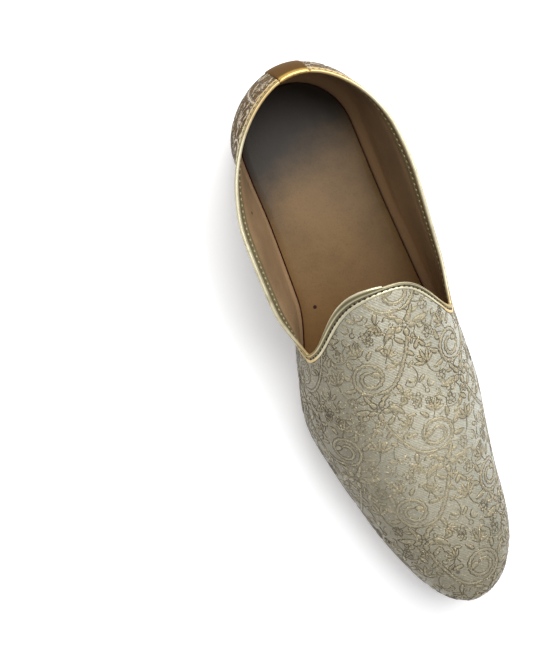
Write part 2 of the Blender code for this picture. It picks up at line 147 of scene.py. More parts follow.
# The binding's outline in millimetres: depth below the top edge, and how far it stands off cloth or lining
BINDING_OUT = (
    (3.70, -0.10), (3.70, 0.14), (3.60, 0.30), (3.40, 0.42), (3.05, 0.50), (2.65, 0.50), (2.35, 0.42),
    (2.15, 0.26), (2.02, 0.10), (1.56, 0.10), (1.42, 0.24), (1.15, 0.38), (0.75, 0.46), (0.35, 0.50),
)
BINDING_IN = (
    (0.60, 0.38), (1.20, 0.38), (1.90, 0.38), (2.55, 0.38), (2.85, 0.22), (3.25, 0.22),
    (3.55, 0.38), (4.10, 0.40), (4.55, 0.34), (4.78, 0.20), (4.80, -0.10),
)
EDGE_SHARE = 0.38
EDGE_REACH = 0.009
OUTER_STITCH_DEPTH = 0.00179
INNER_STITCH_DEPTH = 0.00305
RIM_POINTS = 9
RIM_RISE = 0.60
HIDDEN_DEPTH = 0.0008
HIDDEN_SHARE = 0.9
HIDDEN_SINK = 0.0001
WALK_STEP = 0.0008
BINDING_COUNT = 460
TRIM_GAP = 0.00012
STRAP_LEATHER = 0.0006

# Places round the top edge in metres, from the centre of the back and medial side first
JOIN_PLACE = 0.2001
MEDIAL_NOTCH_PLACE = 0.1521
LATERAL_NOTCH_PLACE = 0.2637
NARROW_SHARE = 0.72
NARROW_START = 0.008
NARROW_END = 0.014
LAP_COLUMNS = ("past", "rise")
LAP = ((0.0, 0.70), (0.004, 1.35), (0.010, 1.70), (0.030, 1.30), (0.062, 0.30), (0.070, 0.0))

# Where the cloth's colour is painted with light and shade, in metres: its axis, where that starts, where it
# is full, how much, to what
PAINTED_LIGHT_ZONES = (
    # painted sheen: a cooler, darker tone on the medial side
    ("X", 0.006, 0.042, 0.62, "medial_sheen"),
    # painted shade: darker towards the toe, and on the lateral side
    ("Y", -0.050, -0.138, 0.64, "darker"),
    ("X", 0.002, -0.040, 0.86, "darker"),
)
# Round the back of the heel the cloth is painted a warm brown shade, past a slanted line: its lean, where it
# starts and where it is full
REAR_LEAN = -0.9
REAR_START = 0.080
REAR_END = 0.125
# The threads are darkened by this share where the cloth has painted shade and sheen
THREAD_SHADE_SHARE = 0.50

# Patches of another colour: centre, where they end and where they are full, in metres
TOE_MARKS = (((-0.0001, -0.1229, 0.0419), 0.0016, 0.00056), ((0.0248, -0.0946, 0.0446), 0.0015, 0.000525))
LINING_MARK = ((-0.0357, 0.0822, 0.0569), 0.0009, 0.0005)
INSOLE_MARK = ((-0.0196, 0.0269, 0.0130), 0.0012, 0.0008)
# painted sheen: the threads pale towards the ground in the middle of the vamp
VAMP_SHEEN = ((-0.002, -0.058, 0.050), 0.050, 0.014)
NOTCH_CLEAR = 0.013
NOTCH_FULL = 0.004

# Edges of the flat layers from the top's rim down, in metres: how far in, then how high or how far down
INSOLE_EDGE = ((0.0004, 0.0), (0.0003, 0.0001), (0.0001, 0.0004), (0.0, 0.0009), (0.0, INSOLE_THICKNESS))
SOLE_EDGE = (
    (0.0005, SOLE_THICKNESS), (0.0, SOLE_THICKNESS - 0.0004), (0.0001, SOLE_THICKNESS * 0.6),
    (SOLE_SLANT * 0.7, 0.0009), (SOLE_SLANT + 0.0002, 0.0003), (SOLE_SLANT + 0.0009, 0.0),
)
# The heel block's edge also has its share of the block's height
HEEL_EDGE = (
    (0.0, 1.0, 0.0), (HEEL_TAPER * 0.3, 0.7, 0.0), (HEEL_TAPER * 0.7, 0.3, 0.0),
    (HEEL_TAPER, 0.0, 0.0006), (HEEL_TAPER + 0.0005, 0.0, 0.0),
)
# Hollows of the insole, in millimetres: station, half width, half length, depth
HOLLOWS = ((38, 19, 26, 0.7), (196, 24, 26, 0.45))

# The studio, in metres: each light's place, size and power; the sky's heights and greys; the camera's aim
LIGHTS = (((0.25, 0.28, 0.64), 0.70, 9.6), ((-0.60, 0.10, 0.90), 0.9, 1.8), ((0.30, -0.9, 0.8), 0.6, 0.8))
SKY = ((0.0, (0.90, 0.90, 0.90)), (0.12, (0.30, 0.30, 0.31)))
SKY_STRENGTH = 0.85
AIM = (0, 0, 0.03)
PICTURE_HEIGHT = 666
SENSOR_WIDTH = 36

# One repeat of the brocade, in millimetres round its scroll's centre
REPEAT_WIDTH = 46.0
REPEAT_HEIGHT = 39.0
REPEAT_ORIGIN = (8, -4)
THREAD_STEP = 0.00085
THREAD_SINK = 0.00004
FILLING_SHARE = 0.62
CLOTH_REACH = 0.00001
MOTIF_COLUMNS = ("kind", "across", "along", "heading", "size")
MOTIFS = (
    ("flower", 0, -17.6, -90, 6.0), ("leaf", -4.2, -17, 200, 9.0), ("leaf", 4.2, -17, -20, 9.0),
    ("leaf", -2.4, -13.2, 132, 5.6), ("leaf", 2.6, -13.4, 44, 5.6), ("fan", 17.5, -1.5, 78, 8.6),
    ("fan", 2.5, 12.0, 70, 7.2), ("fan", -13, -13.0, 228, 6.4), ("fan", -11.0, 9.0, 122, 6.6),
    ("rosette", 12.6, 13.2, 10, 3.0), ("rosette", 11.6, -11.4, 25, 2.9),
    ("rosette", -19.5, -17.2, 40, 2.8), ("rosette", -4.6, 18.6, 15, 2.4), ("leaf", 9.2, 0.6, 20, 6.2),
    ("leaf", 7.4, 5.8, 62, 6.0), ("leaf", -1.5, 9.6, 108, 5.4), ("leaf", 8.2, -4.4, -30, 6.2),
    ("leaf", -8.6, 3.2, 168, 5.6), ("leaf", -19.4, 8.4, 204, 5.6), ("leaf", -16.0, 3.4, 20, 4.6),
    ("leaf", -11.6, -6.8, 236, 5.6), ("leaf", -20.8, 13.0, 26, 5.8), ("leaf", 21.0, 7.6, 108, 6.0),
    ("leaf", 15.6, 7.0, 40, 5.0), ("bud", -15.4, 15.8, 100, 2.6), ("bud", 8.0, -18.6, 320, 2.4),
    ("bud", 21.8, -13.2, 250, 2.4), ("curl", 7.4, 18.0, 30, 3.0), ("curl", 17.6, -12.6, 200, 3.2),
    ("curl", -20.0, -6.6, 130, 3.0), ("curl", -7.2, -12.0, 300, 2.6), ("curl", 16.6, -18.2, 80, 3.0),
    ("curl", 15.0, 18.4, 150, 2.6), ("curl", 20.8, 2.2, 10, 2.4), ("star", 21.4, 13.6, 20, 3.2),
    ("leaf", -14.6, -16.6, 330, 4.8), ("leaf", -6.6, 13.4, 150, 4.6), ("leaf", 11.8, 6.2, 350, 4.4),
    ("leaf", 4.4, -12.2, 350, 4.2), ("leaf", 20.4, -6.6, 300, 4.8), ("leaf", -22.0, 2.6, 300, 4.2),
    ("bud", -8.0, -15.8, 20, 1.8), ("bud", 13.6, 17.2, 230, 2.0), ("curl", -12.4, 13.6, 210, 2.2),
    ("curl", 12.4, -15.4, 20, 2.2), ("curl", -16.4, 8.4, 60, 2.0), ("rosette", 1.4, 18.4, 5, 2.0),
)
STEMS = (
    ("band", ((-22.6, 15.5), (-20.8, 9.8), (-17.7, 3.6), (-13.7, -3.0), (-8.4, -7.8), (-1.5, -9.0))),
    ("line", ((-17.7, 3.6), (-21.4, -0.8), (-22.4, -7), (-19.0, -10.9), (-15.6, -8.5), (-17.3, -6.4))),
    ("line", ((5.5, -7.4), (9.3, -9.4), (13.7, -8.8), (16.4, -5.8), (17.5, -1.5))),
    ("line", ((0.4, -9.3), (2.6, -11), (1.3, -13.2), (0, -14.4))),
    ("line", ((4.0, 8.5), (8.4, 10.6), (9.6, 15.4), (7.4, 18))),
    ("line", ((-4.0, -16.8), (-8, -19), (-12, -18.1), (-13, -13.4))),
    ("line", ((8.4, 10.6), (13.2, 9.2), (17.6, 11.0), (19.6, 15.6), (17.8, 19.5))),
    ("line", ((-11.0, 9.0), (-13.6, 5.0), (-16.6, 1.6))),
)


def srgb(red, green, blue):
    """A colour read as screen values, as linear light."""
    values = np.array([red, green, blue]) / 255
    linear = np.where(values <= 0.04045, values / 12.92, ((values + 0.055) / 1.055) ** 2.4)
    return tuple(float(value) for value in linear)


def colour_property(name, description, *screen):
    return FloatVectorProperty(
        name=name, description=description, default=srgb(*screen), size=3, min=0, max=1, subtype="COLOR"
    )


def angle_property(name, description, degrees):
    turn = math.radians(degrees)
    return FloatProperty(name=name, description=description, default=turn, subtype="ANGLE")


def size_property(name, description, default):
    return FloatProperty(
        name=name, description=description, default=default, min=0, unit="LENGTH", precision=5
    )


def shift_property(name, default):
    return FloatProperty(name=name, description="How far the aim is moved", default=default, unit="LENGTH")


class MojariCloth(bpy.types.PropertyGroup):
    """Sizes and colours of the brocade"""

    wall: size_property("Cloth", "Thickness of the brocade on its backing", 0.0011)
    thread_width: size_property("Outline", "Width of the pattern's outlining thread", 0.00066)
    thread_height: size_property("Relief", "How far the outlining thread stands off the cloth", 0.00021)
    band_width: size_property("Stem", "Width of the main stem between its outlines", 0.0019)
    ground_light: colour_property("Ground, light", "The satin ground where it is clean", 211, 208, 190)
    ground_dark: colour_property("Ground, dark", "The satin ground where it is soiled", 184, 179, 158)
    # painted shade at the toe and on the lateral side
    darker: colour_property("Ground, soiled", "The satin at the toe and on the lateral side", 124, 117, 95)
    # painted shade: the warm brown round the heel
    rear_shade: colour_property("Ground, back", "The satin ground round the heel, browned by painted_shade", 106, 83, 50)
    # painted sheen on the medial side
    medial_sheen: colour_property("Ground, medial", "The satin on the medial side, cooler there", 157, 163, 157)
    outline: colour_property("Outline", "The dark gold thread round each motif", 112, 100, 72)
    filling: colour_property("Filling", "The pale gold thread inside the motifs", 190, 180, 150)
    # painted shade: the thread's warm brown round the heel
    rear_thread: colour_property("Thread, back", "The motifs' thread round the heel", 176, 146, 100)
    glint: colour_property("Glint", "The metal thread where it catches light", 232, 212, 168)


class MojariTrim(bpy.types.PropertyGroup):
    """Sizes and colours of the gold trim and its stitches"""

    stitch_pitch: size_property("Stitch pitch", "Distance between the binding's stitches", 0.0028)
    stitch_length: size_property("Stitch length", "Length of one stitch", 0.0015)
    stitch_width: size_property("Stitch width", "Width of one stitch", 0.00120)
    strap_width: size_property("Strap width", "Width of the strap at the back", 0.0145)
    strap_inside: size_property("Strap inside", "How far the strap reaches down inside", 0.011)
    gold: colour_property("Gold", "The binding's pale gold", 216, 208, 178)
    gold_worn: colour_property("Gold, worn", "The binding's gold where it is worn", 178, 168, 134)
    warm: colour_property("Gold, warm", "The deeper gold of the strap, back and notches", 204, 170, 106)
    # painted shade: the strap's outer face below its fold
    strap_shade: colour_property("Bronze", "The strap where it is darkened below its fold", 104, 88, 58)
    band: colour_property("Band", "The duller gold beside the outer stitches", 98, 90, 58)
    facing: colour_property("Facing", "The dark olive gold inside", 108, 97, 66)
    outer_thread: colour_property("Outer thread", "The dark stitches outside", 28, 22, 14)
    inner_thread: colour_property("Inner thread", "The pale stitches inside", 158, 146, 110)


class MojariInside(bpy.types.PropertyGroup):
    """Colours of the lining, the insole and the sole"""

    lining: colour_property("Lining", "The lining leather", 128, 104, 77)
    insole: colour_property("Insole", "The insole leather", 116, 91, 58)
    # painted shade: the insole deeper in front, shaded by the vamp
    insole_front_shade: colour_property("Insole, front", "The insole in front of the arch", 103, 72, 38)
    # the heel seat's grey is partly dirt and partly painted shade
    dirt_and_shade: colour_property("Dirt", "The worn grey of the heel seat", 41, 36, 30)
    seam: colour_property("Seam", "The dark edge of the insole", 72, 24, 18)
    sole: colour_property("Sole", "The outsole", 122, 90, 60)
    heel: colour_property("Heel", "The heel block", 98, 70, 46)


class MojariStudio(bpy.types.PropertyGroup):
    """The camera's place and the lights"""

    azimuth: angle_property("Azimuth", "Camera's bearing", 11.8)
    elevation: angle_property("Elevation", "Camera's height", 94.8)
    roll: angle_property("Roll", "Camera's roll", -32.3)
    distance: size_property("Distance", "From the camera to the shoe", 0.4475)
    focal: FloatProperty(name="Focal length", description="In pixels, at 666 high", default=877.4, min=1)
    shift_right: shift_property("Right", 0.0540)
    shift_up: shift_property("Up", -0.0058)
    floor: FloatProperty(name="Floor", description="Brightness of the floor", default=0.86, min=0, max=1)


def table_column(rows, columns, name):
    """One named column of a table, as an array."""
    return np.array([row[columns.index(name)] for row in rows])


def smooth(share):
    """A share from 0 to 1 that starts and ends softly."""
    return 3 * share**2 - 2 * share**3


def hermite(knots, values, tangent, at):
    """A cubic through the knots with the given slopes."""
    left = np.clip(np.searchsorted(knots, at, side="right") - 1, 0, len(knots) - 2)
    spread = (...,) + (None,) * (values.ndim - 1)
    width = np.diff(knots)[left][spread]
    t = (at - knots[left])[spread] / width
    ends = values[left] * (1 - smooth(t)) + values[left + 1] * smooth(t)
    return ends + width * ((t**3 - 2 * t**2 + t) * tangent[left] + (t**3 - t**2) * tangent[left + 1])


def smooth_curve(knots, values, at):
    """Monotone cubic through the knots, flat between equal values."""
    slope = np.diff(values) / np.diff(knots)
    turn = slope[:-1] * slope[1:]
    total = np.where(slope[:-1] + slope[1:] == 0, 1, slope[:-1] + slope[1:])
    tangent = np.concatenate(([slope[0]], np.where(turn > 0, 2 * turn / total, 0), [slope[-1]]))
    return hermite(knots, values, tangent, np.asarray(at, float))


def section(name, station):
    """A column of SECTIONS read at a station, as a share."""
    knots = table_column(SECTIONS, SECTION_COLUMNS, "along")
    values = table_column(SECTIONS, SECTION_COLUMNS, name)
    return smooth_curve(knots, values, np.clip(np.asarray(station) / LENGTH, 0, 1))


def side_name(side):
    return "medial" if side == MEDIAL else "lateral"


def sole_lift(station):
    """Height of the outsole's underside over the ground."""
    return HEEL_HEIGHT * section("lift", station)


def bed(station):
    """Height of the outsole's top face."""
    return sole_lift(station) + SOLE_THICKNESS


def centre_line(station):
    """X of the last's centre line, which swings to the big toe."""
    return TOE_SHIFT * np.clip((np.asarray(station) / LENGTH - SWING_START) / (1 - SWING_START), 0, 1) ** 2


def toe_rounding(station):
    into = np.clip((np.asarray(station) - (LENGTH - TOE_ROUND)) / TOE_ROUND, 0, 1)
    return np.sqrt(np.clip(1 - into**TOE_POWER, 0, 1))


def heel_rounding(station):
    into = np.clip((HEEL_ROUND - np.asarray(station)) / HEEL_ROUND, 0, 1)
    return np.sqrt(np.clip(1 - into**HEEL_POWER, 0, 1))


def half_width(station, side):
    """Half width of the widest line in plan, from the centre line."""
    width = BALL_WIDTH * section(side_name(side), station)
    return width * toe_rounding(station) * heel_rounding(station)


def plan_line(side, stations, inset):
    """The widest line on one side moved inwards by inset, as X and station."""
    across = centre_line(stations) + side * half_width(stations, side)
    line = np.stack([across, stations], axis=1)
    ahead = np.gradient(line, axis=0)
    ahead[0] = (side, 0)
    ahead[-1] = (-side, 0)
    ahead /= np.linalg.norm(ahead, axis=1)[:, None]
    outward = np.stack([side * ahead[:, 1], -side * ahead[:, 0]], axis=1)
    return line - inset * outward


def end_spaced(start, finish, count):
    """Stations crowded towards both ends, where the outline turns."""
    return start + (finish - start) * (1 - np.cos(np.pi * np.arange(count + 1) / count)) / 2


def last_height(across, station):
    """Height of the last over a plan point inside its widest line."""
    offset = across - centre_line(station)
    width = np.where(offset > 0, half_width(station, MEDIAL), half_width(station, LATERAL))
    share = np.clip(offset / np.maximum(width, 1e-6), -1, 1)
    share = np.clip(share - RIDGE_SHIFT / (BALL_WIDTH / 2) * (1 - share**2), -1, 1)
    widest = WIDEST_HEIGHT * section("widest", station)
    crown = (INSTEP_HEIGHT * section("ridge", station) - widest) * toe_rounding(station) ** CROWN_FALL
    return bed(station) + GAP + widest + crown * (1 - np.abs(share) ** CROWN_POWER) ** (1 / CROWN_POWER)


def to_space(across, station, height):
    """World points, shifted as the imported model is."""
    return np.stack([across + SHIFT[0], LENGTH / 2 - station + SHIFT[1], height], axis=-1)


def along_line(points):
    """Distance of each point along its line."""
    steps = np.linalg.norm(np.diff(points, axis=0), axis=1)
    return np.concatenate(([0], np.cumsum(steps)))


def read_line(points, distance):
    """Points of a line at given distances along it."""
    run = along_line(points)
    return np.stack([np.interp(distance, run, points[:, i]) for i in range(points.shape[1])], axis=1)


def even_line(points, count):
    """The line again, as evenly spaced points."""
    return read_line(points, np.linspace(0, along_line(points)[-1], count))


def notch_across(side):
    """X of the side's notch, on the last."""
    share = MEDIAL_NOTCH_SHARE if side == MEDIAL else LATERAL_NOTCH_SHARE
    return float(centre_line(NOTCH) + side * share * half_width(NOTCH, side))


def collar_line(side):
    """The top edge from the centre of the back to the notch."""
    station = BACK_LEAN + (NOTCH - BACK_LEAN) * np.linspace(0, 1, DENSE) ** 1.5
    floor = float(bed(NOTCH)) + GAP
    notch_height = float(last_height(np.array(notch_across(side)), np.array(NOTCH))) - floor
    knots = np.append(table_column(COLLAR, COLLAR_COLUMNS, "along") * NOTCH, NOTCH)
    widths = table_column(COLLAR, COLLAR_COLUMNS, side_name(side)) * BALL_WIDTH
    widths = np.append(widths, abs(notch_across(side)))
    heights = np.append(table_column(COLLAR, COLLAR_COLUMNS, "height") * BACK_HEIGHT, notch_height)
    into = np.clip(1 - (station - BACK_LEAN) / BACK_ROUND, 0, 1)
    width = smooth_curve(knots, widths, station) * np.sqrt(np.clip(1 - into**COLLAR_POWER, 0, 1))
    height = bed(station) + GAP + smooth_curve(knots, heights, np.maximum(station, knots[0]))
    return to_space(side * width, station, height)


def throat_line(side):
    """The top edge from the notch to the middle of the throat."""
    medial = notch_across(MEDIAL)
    lateral = notch_across(LATERAL)
    share = side * np.linspace(1, 0, DENSE)
    across = (medial + lateral) / 2 + (medial - lateral) / 2 * share
    station = NOTCH - THROAT_REACH * np.cos(np.pi / 2 * np.abs(share) ** THROAT_POWER) ** 2
    return to_space(across, station, last_height(across, station))


def top_edge(side):
    """The whole top edge on one side with its notch rounded, and the distance to the notch."""
    collar = collar_line(side)
    line = np.concatenate([collar, throat_line(side)[1:]])
    count = 2 * DENSE
    step = along_line(line)[-1] / (count - 1)
    line = even_line(line, count)
    reach = max(1, round(NOTCH_ROUND / step))
    before = 2 * line[0] - line[reach:0:-1]
    after = 2 * line[-1] - line[-2:-reach - 2:-1]
    padded = np.concatenate([before, line, after])
    window = np.hanning(2 * reach + 3)[1:-1]
    window /= window.sum()
    rounded = np.stack([np.convolve(padded[:, i], window, mode="valid") for i in range(3)], axis=1)
    return rounded, along_line(collar)[-1]


def column_positions(side):
    """Places along the widest line and points on the top edge, for each column from heel to toe."""
    outline = plan_line(side, end_spaced(0, LENGTH, DENSE), 0)
    edge, edge_notch = top_edge(side)
    run = along_line(outline)
    outline_notch = float(np.interp(NOTCH + NOTCH_LEAD, outline[:, 1], run))
    quarter = 1 - (1 - np.arange(QUARTER_COLUMNS) / QUARTER_COLUMNS) ** SPREAD
    vamp = np.arange(VAMP_COLUMNS + 1) / VAMP_COLUMNS
    edge_run = along_line(edge)[-1]
    low = np.concatenate([quarter * outline_notch, outline_notch + vamp * (run[-1] - outline_notch)])
    high = np.concatenate([quarter * edge_notch, edge_notch + vamp * (edge_run - edge_notch)])
    return low, read_line(edge, high)


def column_curve(widest, top, over_last):
    """A column from the widest line to the top edge: over_last is 1 on the last and 0 on a free wall."""
    t = np.linspace(0, 1, DENSE)[:, None]
    control = np.array([widest[0], widest[1], widest[2] + WALL_FULLNESS * (top[2] - widest[2])])
    wall = even_line((1 - t) ** 2 * widest + 2 * t * (1 - t) * control + t**2 * top, DENSE)
    if over_last == 0:
        return wall
    spaced = t**2
    flat = widest[:2] + (top[:2] - widest[:2]) * spaced
    height = last_height(flat[:, 0] - SHIFT[0], LENGTH / 2 - flat[:, 1] + SHIFT[1])
    height += (top[2] - height[-1]) * spaced[:, 0] ** 2
    draped = even_line(np.column_stack([flat, height]), DENSE)
    return wall * (1 - over_last) + draped * over_last


def upper_side(side):
    """The outer surface on one side, as columns from heel to toe of rows from the sole to the top edge."""
    low, top = column_positions(side)
    stations = end_spaced(0, LENGTH, DENSE)
    outline = plan_line(side, stations, 0)
    inner = plan_line(side, stations, UNDERCUT)
    run = along_line(outline)
    columns = []
    for index, distance in enumerate(low):
        plan = np.array([np.interp(distance, run, outline[:, i]) for i in range(2)])
        foot = np.array([np.interp(distance, run, inner[:, i]) for i in range(2)])
        widest_height = WIDEST_HEIGHT * float(section("widest", plan[1]))
        rows = []
        for row in range(UNDERCUT_ROWS):
            t = row / UNDERCUT_ROWS
            across, station = foot + (plan - foot) * smooth(t)
            rows.append(to_space(across, station, float(bed(station)) + GAP + widest_height * t))
        widest = to_space(plan[0], plan[1], float(bed(plan[1])) + GAP + widest_height)
        into = np.clip((index - QUARTER_COLUMNS) / (VAMP_COLUMNS * BLEND_SHARE), 0, 1)
        curve = column_curve(widest, top[index], smooth(into))
        shares = (np.arange(WALL_ROWS + 1) / WALL_ROWS) ** SPREAD
        rows.extend(read_line(curve, shares * along_line(curve)[-1]))
        columns.append(rows)
    return np.array(columns)


def grid_normals(grid):
    """Outward normals of a ring of columns."""
    around = np.roll(grid, -1, axis=0) - np.roll(grid, 1, axis=0)
    up = np.gradient(grid, axis=1)
    normal = np.cross(up, around)
    return normal / np.linalg.norm(normal, axis=2)[..., None]


def crease_depth(points):
    """How far each point is pushed out by the creases."""
    total = np.zeros(points.shape[:-1])
    for row in CREASES:
        value = dict(zip(CREASE_COLUMNS, row))
        start, finish = (to_space(*(value[axis + end] / 1000 for axis in "xsz")) for end in "01")
        whole = finish - start
        share = np.clip((points - start) @ whole / (whole @ whole), 0, 1)
        away = np.linalg.norm(points - start - share[..., None] * whole, axis=-1) * 1000 / value["width"]
        total += value["height"] / 1000 * np.exp(-away**2)
    return total


def upper_surface():
    """The outer surface all round, medial side first, with its creases, and its normals."""
    lateral = upper_side(LATERAL)
    surface = np.concatenate([upper_side(MEDIAL), lateral[-2:0:-1]])
    surface = surface + grid_normals(surface) * crease_depth(surface)[..., None]
    return surface, grid_normals(surface)


def wall_share(depth):
    """How thick the wall is at a depth below its top edge, as a share: it is pared for the binding."""
    into = np.clip(depth / EDGE_REACH, 0, 1)
    return EDGE_SHARE + (1 - EDGE_SHARE) * smooth(into)


def wall_shares(surface):
    """The wall's share at every point of the upper's surface."""
    steps = np.linalg.norm(np.diff(surface, axis=1), axis=2)
    depth = np.cumsum(steps[:, ::-1], axis=1)[:, ::-1]
    depth = np.concatenate([depth, np.zeros((len(surface), 1))], axis=1)
    return wall_share(depth)[..., None]


def packed_shift():
    """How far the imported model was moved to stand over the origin, read from its outsole."""
    low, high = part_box("outsole")
    stations = end_spaced(0, LENGTH, 40)
    medial = plan_line(MEDIAL, stations, SOLE_INSET)
    lateral = plan_line(LATERAL, stations, SOLE_INSET)
    across = (medial[:, 0].max() + lateral[:, 0].min()) / 2
    along = LENGTH / 2 - (medial[:, 1].max() + medial[:, 1].min()) / 2
    return np.array([(low.x + high.x) / 2 - across, (low.y + high.y) / 2 - along])


SHIFT = packed_shift()
SURFACE, NORMALS = upper_surface()
INWARD = NORMALS * wall_shares(SURFACE)
RIM = np.concatenate([SURFACE, SURFACE[:1]])[:, -1]
RIM_RUN = along_line(RIM)


def wipe_selection():
    for thing in bpy.context.selected_objects:
        thing.select_set(False)


def make_piece(name, points, faces, material, slot, replaced):
    """A mesh object in the shoe's frame that rides on its one body."""
    mesh = bpy.data.meshes.new(name)
    mesh.from_pydata([tuple(map(float, point)) for point in points], [], faces)
    mesh.update()
    mesh.materials.append(material)
    piece = bpy.data.objects.new(name, mesh)
    bpy.context.scene.collection.objects.link(piece)
    mesh.shade_smooth()
    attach(piece, "root")
    if replaced:
        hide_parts(replaced)
    return piece


def ring_faces(columns, rows, closed):
    """Quads of a grid, facing out for columns that run clockwise seen from above."""
    faces = []
    for column in range(columns if closed else columns - 1):
        following = (column + 1) % columns
        for row in range(rows - 1):
            here = column * rows + row
            there = following * rows + row
            faces.append((here, here + 1, there + 1, there))
    return faces


def both_sides(faces, count):
    """The faces, and the same ones turned over for a second sheet of points."""
    return faces + [tuple(count + i for i in reversed(face)) for face in faces]


def border_cells(columns, rows):
    """Columns and rows of a grid's border, once round."""
    border = [(column, 0) for column in range(columns)] + [(columns - 1, row) for row in range(1, rows)]
    border += [(column, rows - 1) for column in range(columns - 2, -1, -1)]
    return border + [(0, row) for row in range(rows - 2, 0, -1)]


def wall_between(outer, inner):
    """Points and faces of a closed ring wall between two grids."""
    columns, rows = outer.shape[:2]
    count = columns * rows
    faces = both_sides(ring_faces(columns, rows, True), count)
    for low in range(0, count, rows):
        low_next = (low + rows) % count
        high, high_next = low + rows - 1, low_next + rows - 1
        faces.append((low, low_next, count + low_next, count + low))
        faces.append((high_next, high, count + high, count + high_next))
    return np.concatenate([outer.reshape(-1, 3), inner.reshape(-1, 3)]), faces


def strip_faces(length, ring):
    """Faces of a closed tube of rings, with both ends capped."""
    faces = []
    for step in range(length - 1):
        for i in range(ring):
            j = (i + 1) % ring
            faces.append((step * ring + i, step * ring + j, (step + 1) * ring + j, (step + 1) * ring + i))
    faces.append(tuple(range(ring - 1, -1, -1)))
    faces.append(tuple((length - 1) * ring + i for i in range(ring)))
    return faces


def in_edit_mode(thing, *steps):
    """Takes the steps on the whole mesh of one object."""
    wipe_selection()
    bpy.context.view_layer.objects.active = thing
    thing.select_set(True)
    bpy.ops.object.mode_set(mode="EDIT")
    bpy.ops.mesh.select_all(action="SELECT")
    for step in steps:
        step()
    bpy.ops.object.mode_set(mode="OBJECT")


def face_outwards():
    bpy.ops.mesh.normals_make_consistent(inside=False)


class Skin:
    """The upper's outer surface, for walking over it and for finding a point of the flat cloth on it."""

    def __init__(self, flat):
        columns, rows = SURFACE.shape[:2]
        closed = (np.concatenate([grid, grid[:1]]).reshape(-1, 3) for grid in (SURFACE, NORMALS))
        self.places, self.lifts = ([Vector(row) for row in rows_of] for rows_of in closed)
        self.corners = []
        for a, b, c, d in ring_faces(columns + 1, rows, False):
            self.corners += [(a, b, c), (a, c, d)]
        self.flat = [Vector((point[0], point[1], 0)) for point in flat]
        self.tree = BVHTree.FromPolygons(self.places, self.corners)
        self.flat_tree = BVHTree.FromPolygons(self.flat, self.corners)

    def read(self, spot, source, target, index):
        """A point of one triangle, carried from one set of corners to another."""
        corners = self.corners[index]
        return barycentric_transform(spot, *(source[i] for i in corners), *(target[i] for i in corners))

    def nearest(self, point):
        """The nearest place on the surface and its normal."""
        place, _, index, _ = self.tree.find_nearest(point)
        return place, self.read(place, self.places, self.lifts, index).normalized()

    def from_flat(self, across, along, reach):
        """The place over a point of the cut cloth and its normal, or nothing where the cloth ends."""
        spot, _, index, away = self.flat_tree.find_nearest(Vector((across, along, 0)))
        if index is None or away > reach:
            return None
        normal = self.read(spot, self.flat, self.lifts, index)
        return self.read(spot, self.flat, self.places, index), normal.normalized()


def spread_rows(values, picks, count):
    """Values known at some rows, read at every row."""
    flat = values.reshape(len(picks), -1)
    return np.stack([np.interp(np.arange(count), picks, column) for column in flat.T], axis=1).reshape(
        (count,) + values.shape[1:]
    )


def cut_cloth():
    """The upper's surface laid flat, slit down the back: metres from the middle of the throat, toe to -Y."""
    columns, rows = SURFACE.shape[:2]
    whole = np.concatenate([SURFACE, SURFACE[:1]])
    across_picks = np.arange(0, columns + 1, 4)
    up_picks = np.arange(0, rows, 3)
    grid = whole[across_picks][:, up_picks]
    faces = ring_faces(len(across_picks), len(up_picks), False)
    points = grid.reshape(-1, 3)
    mesh = bpy.data.meshes.new("flattening")
    mesh.from_pydata([tuple(map(float, point)) for point in points], [], faces)
    mesh.uv_layers.new(name="flat")
    thing = bpy.data.objects.new("flattening", mesh)
    bpy.context.scene.collection.objects.link(thing)
    in_edit_mode(thing, lambda: bpy.ops.uv.unwrap(method="MINIMUM_STRETCH", iterations=60, margin=0))
    corner = np.zeros(len(mesh.loops) * 2)
    mesh.uv_layers["flat"].data.foreach_get("uv", corner)
    vertex = np.zeros(len(mesh.loops), int)
    mesh.loops.foreach_get("vertex_index", vertex)
    flat = np.zeros((len(points), 2))
    flat[vertex] = corner.reshape(-1, 2)
    triangles = np.array([face[:3] for face in faces])
    solid = points[triangles]
    real = np.linalg.norm(np.cross(solid[:, 1] - solid[:, 0], solid[:, 2] - solid[:, 0]), axis=1).sum()
    laid = flat[triangles]
    first, second = laid[:, 1] - laid[:, 0], laid[:, 2] - laid[:, 0]
    flat *= math.sqrt(real / np.abs(first[:, 0] * second[:, 1] - first[:, 1] * second[:, 0]).sum())
    bpy.data.objects.remove(thing)
    flat = flat.reshape(len(across_picks), len(up_picks), 2)
    flat = spread_rows(flat, across_picks, columns + 1)
    flat = spread_rows(flat.transpose(1, 0, 2), up_picks, rows).transpose(1, 0, 2)
    toe = QUARTER_COLUMNS + VAMP_COLUMNS
    throat = flat[toe, -1].copy()
    axis = flat[toe, UNDERCUT_ROWS] - throat
    down = axis / np.linalg.norm(axis)
    right = np.array([-down[1], down[0]])
    flat = flat - throat
    across = flat @ right
    if across[QUARTER_COLUMNS, rows // 2] < 0:
        across = -across
    return np.stack([across, -(flat @ down)], axis=-1)


FLAT = cut_cloth()
SKIN = Skin(FLAT.reshape(-1, 2))


# Materials


def link(value, socket):
    """Sets a socket to a number or colour, or joins it to another node's socket."""
    if isinstance(value, bpy.types.NodeSocket):
        socket.id_data.links.new(value, socket)
    elif hasattr(socket.default_value, "__len__") and len(socket.default_value) == 4 and len(value) == 3:
        socket.default_value = (*value, 1)
    else:
        socket.default_value = value


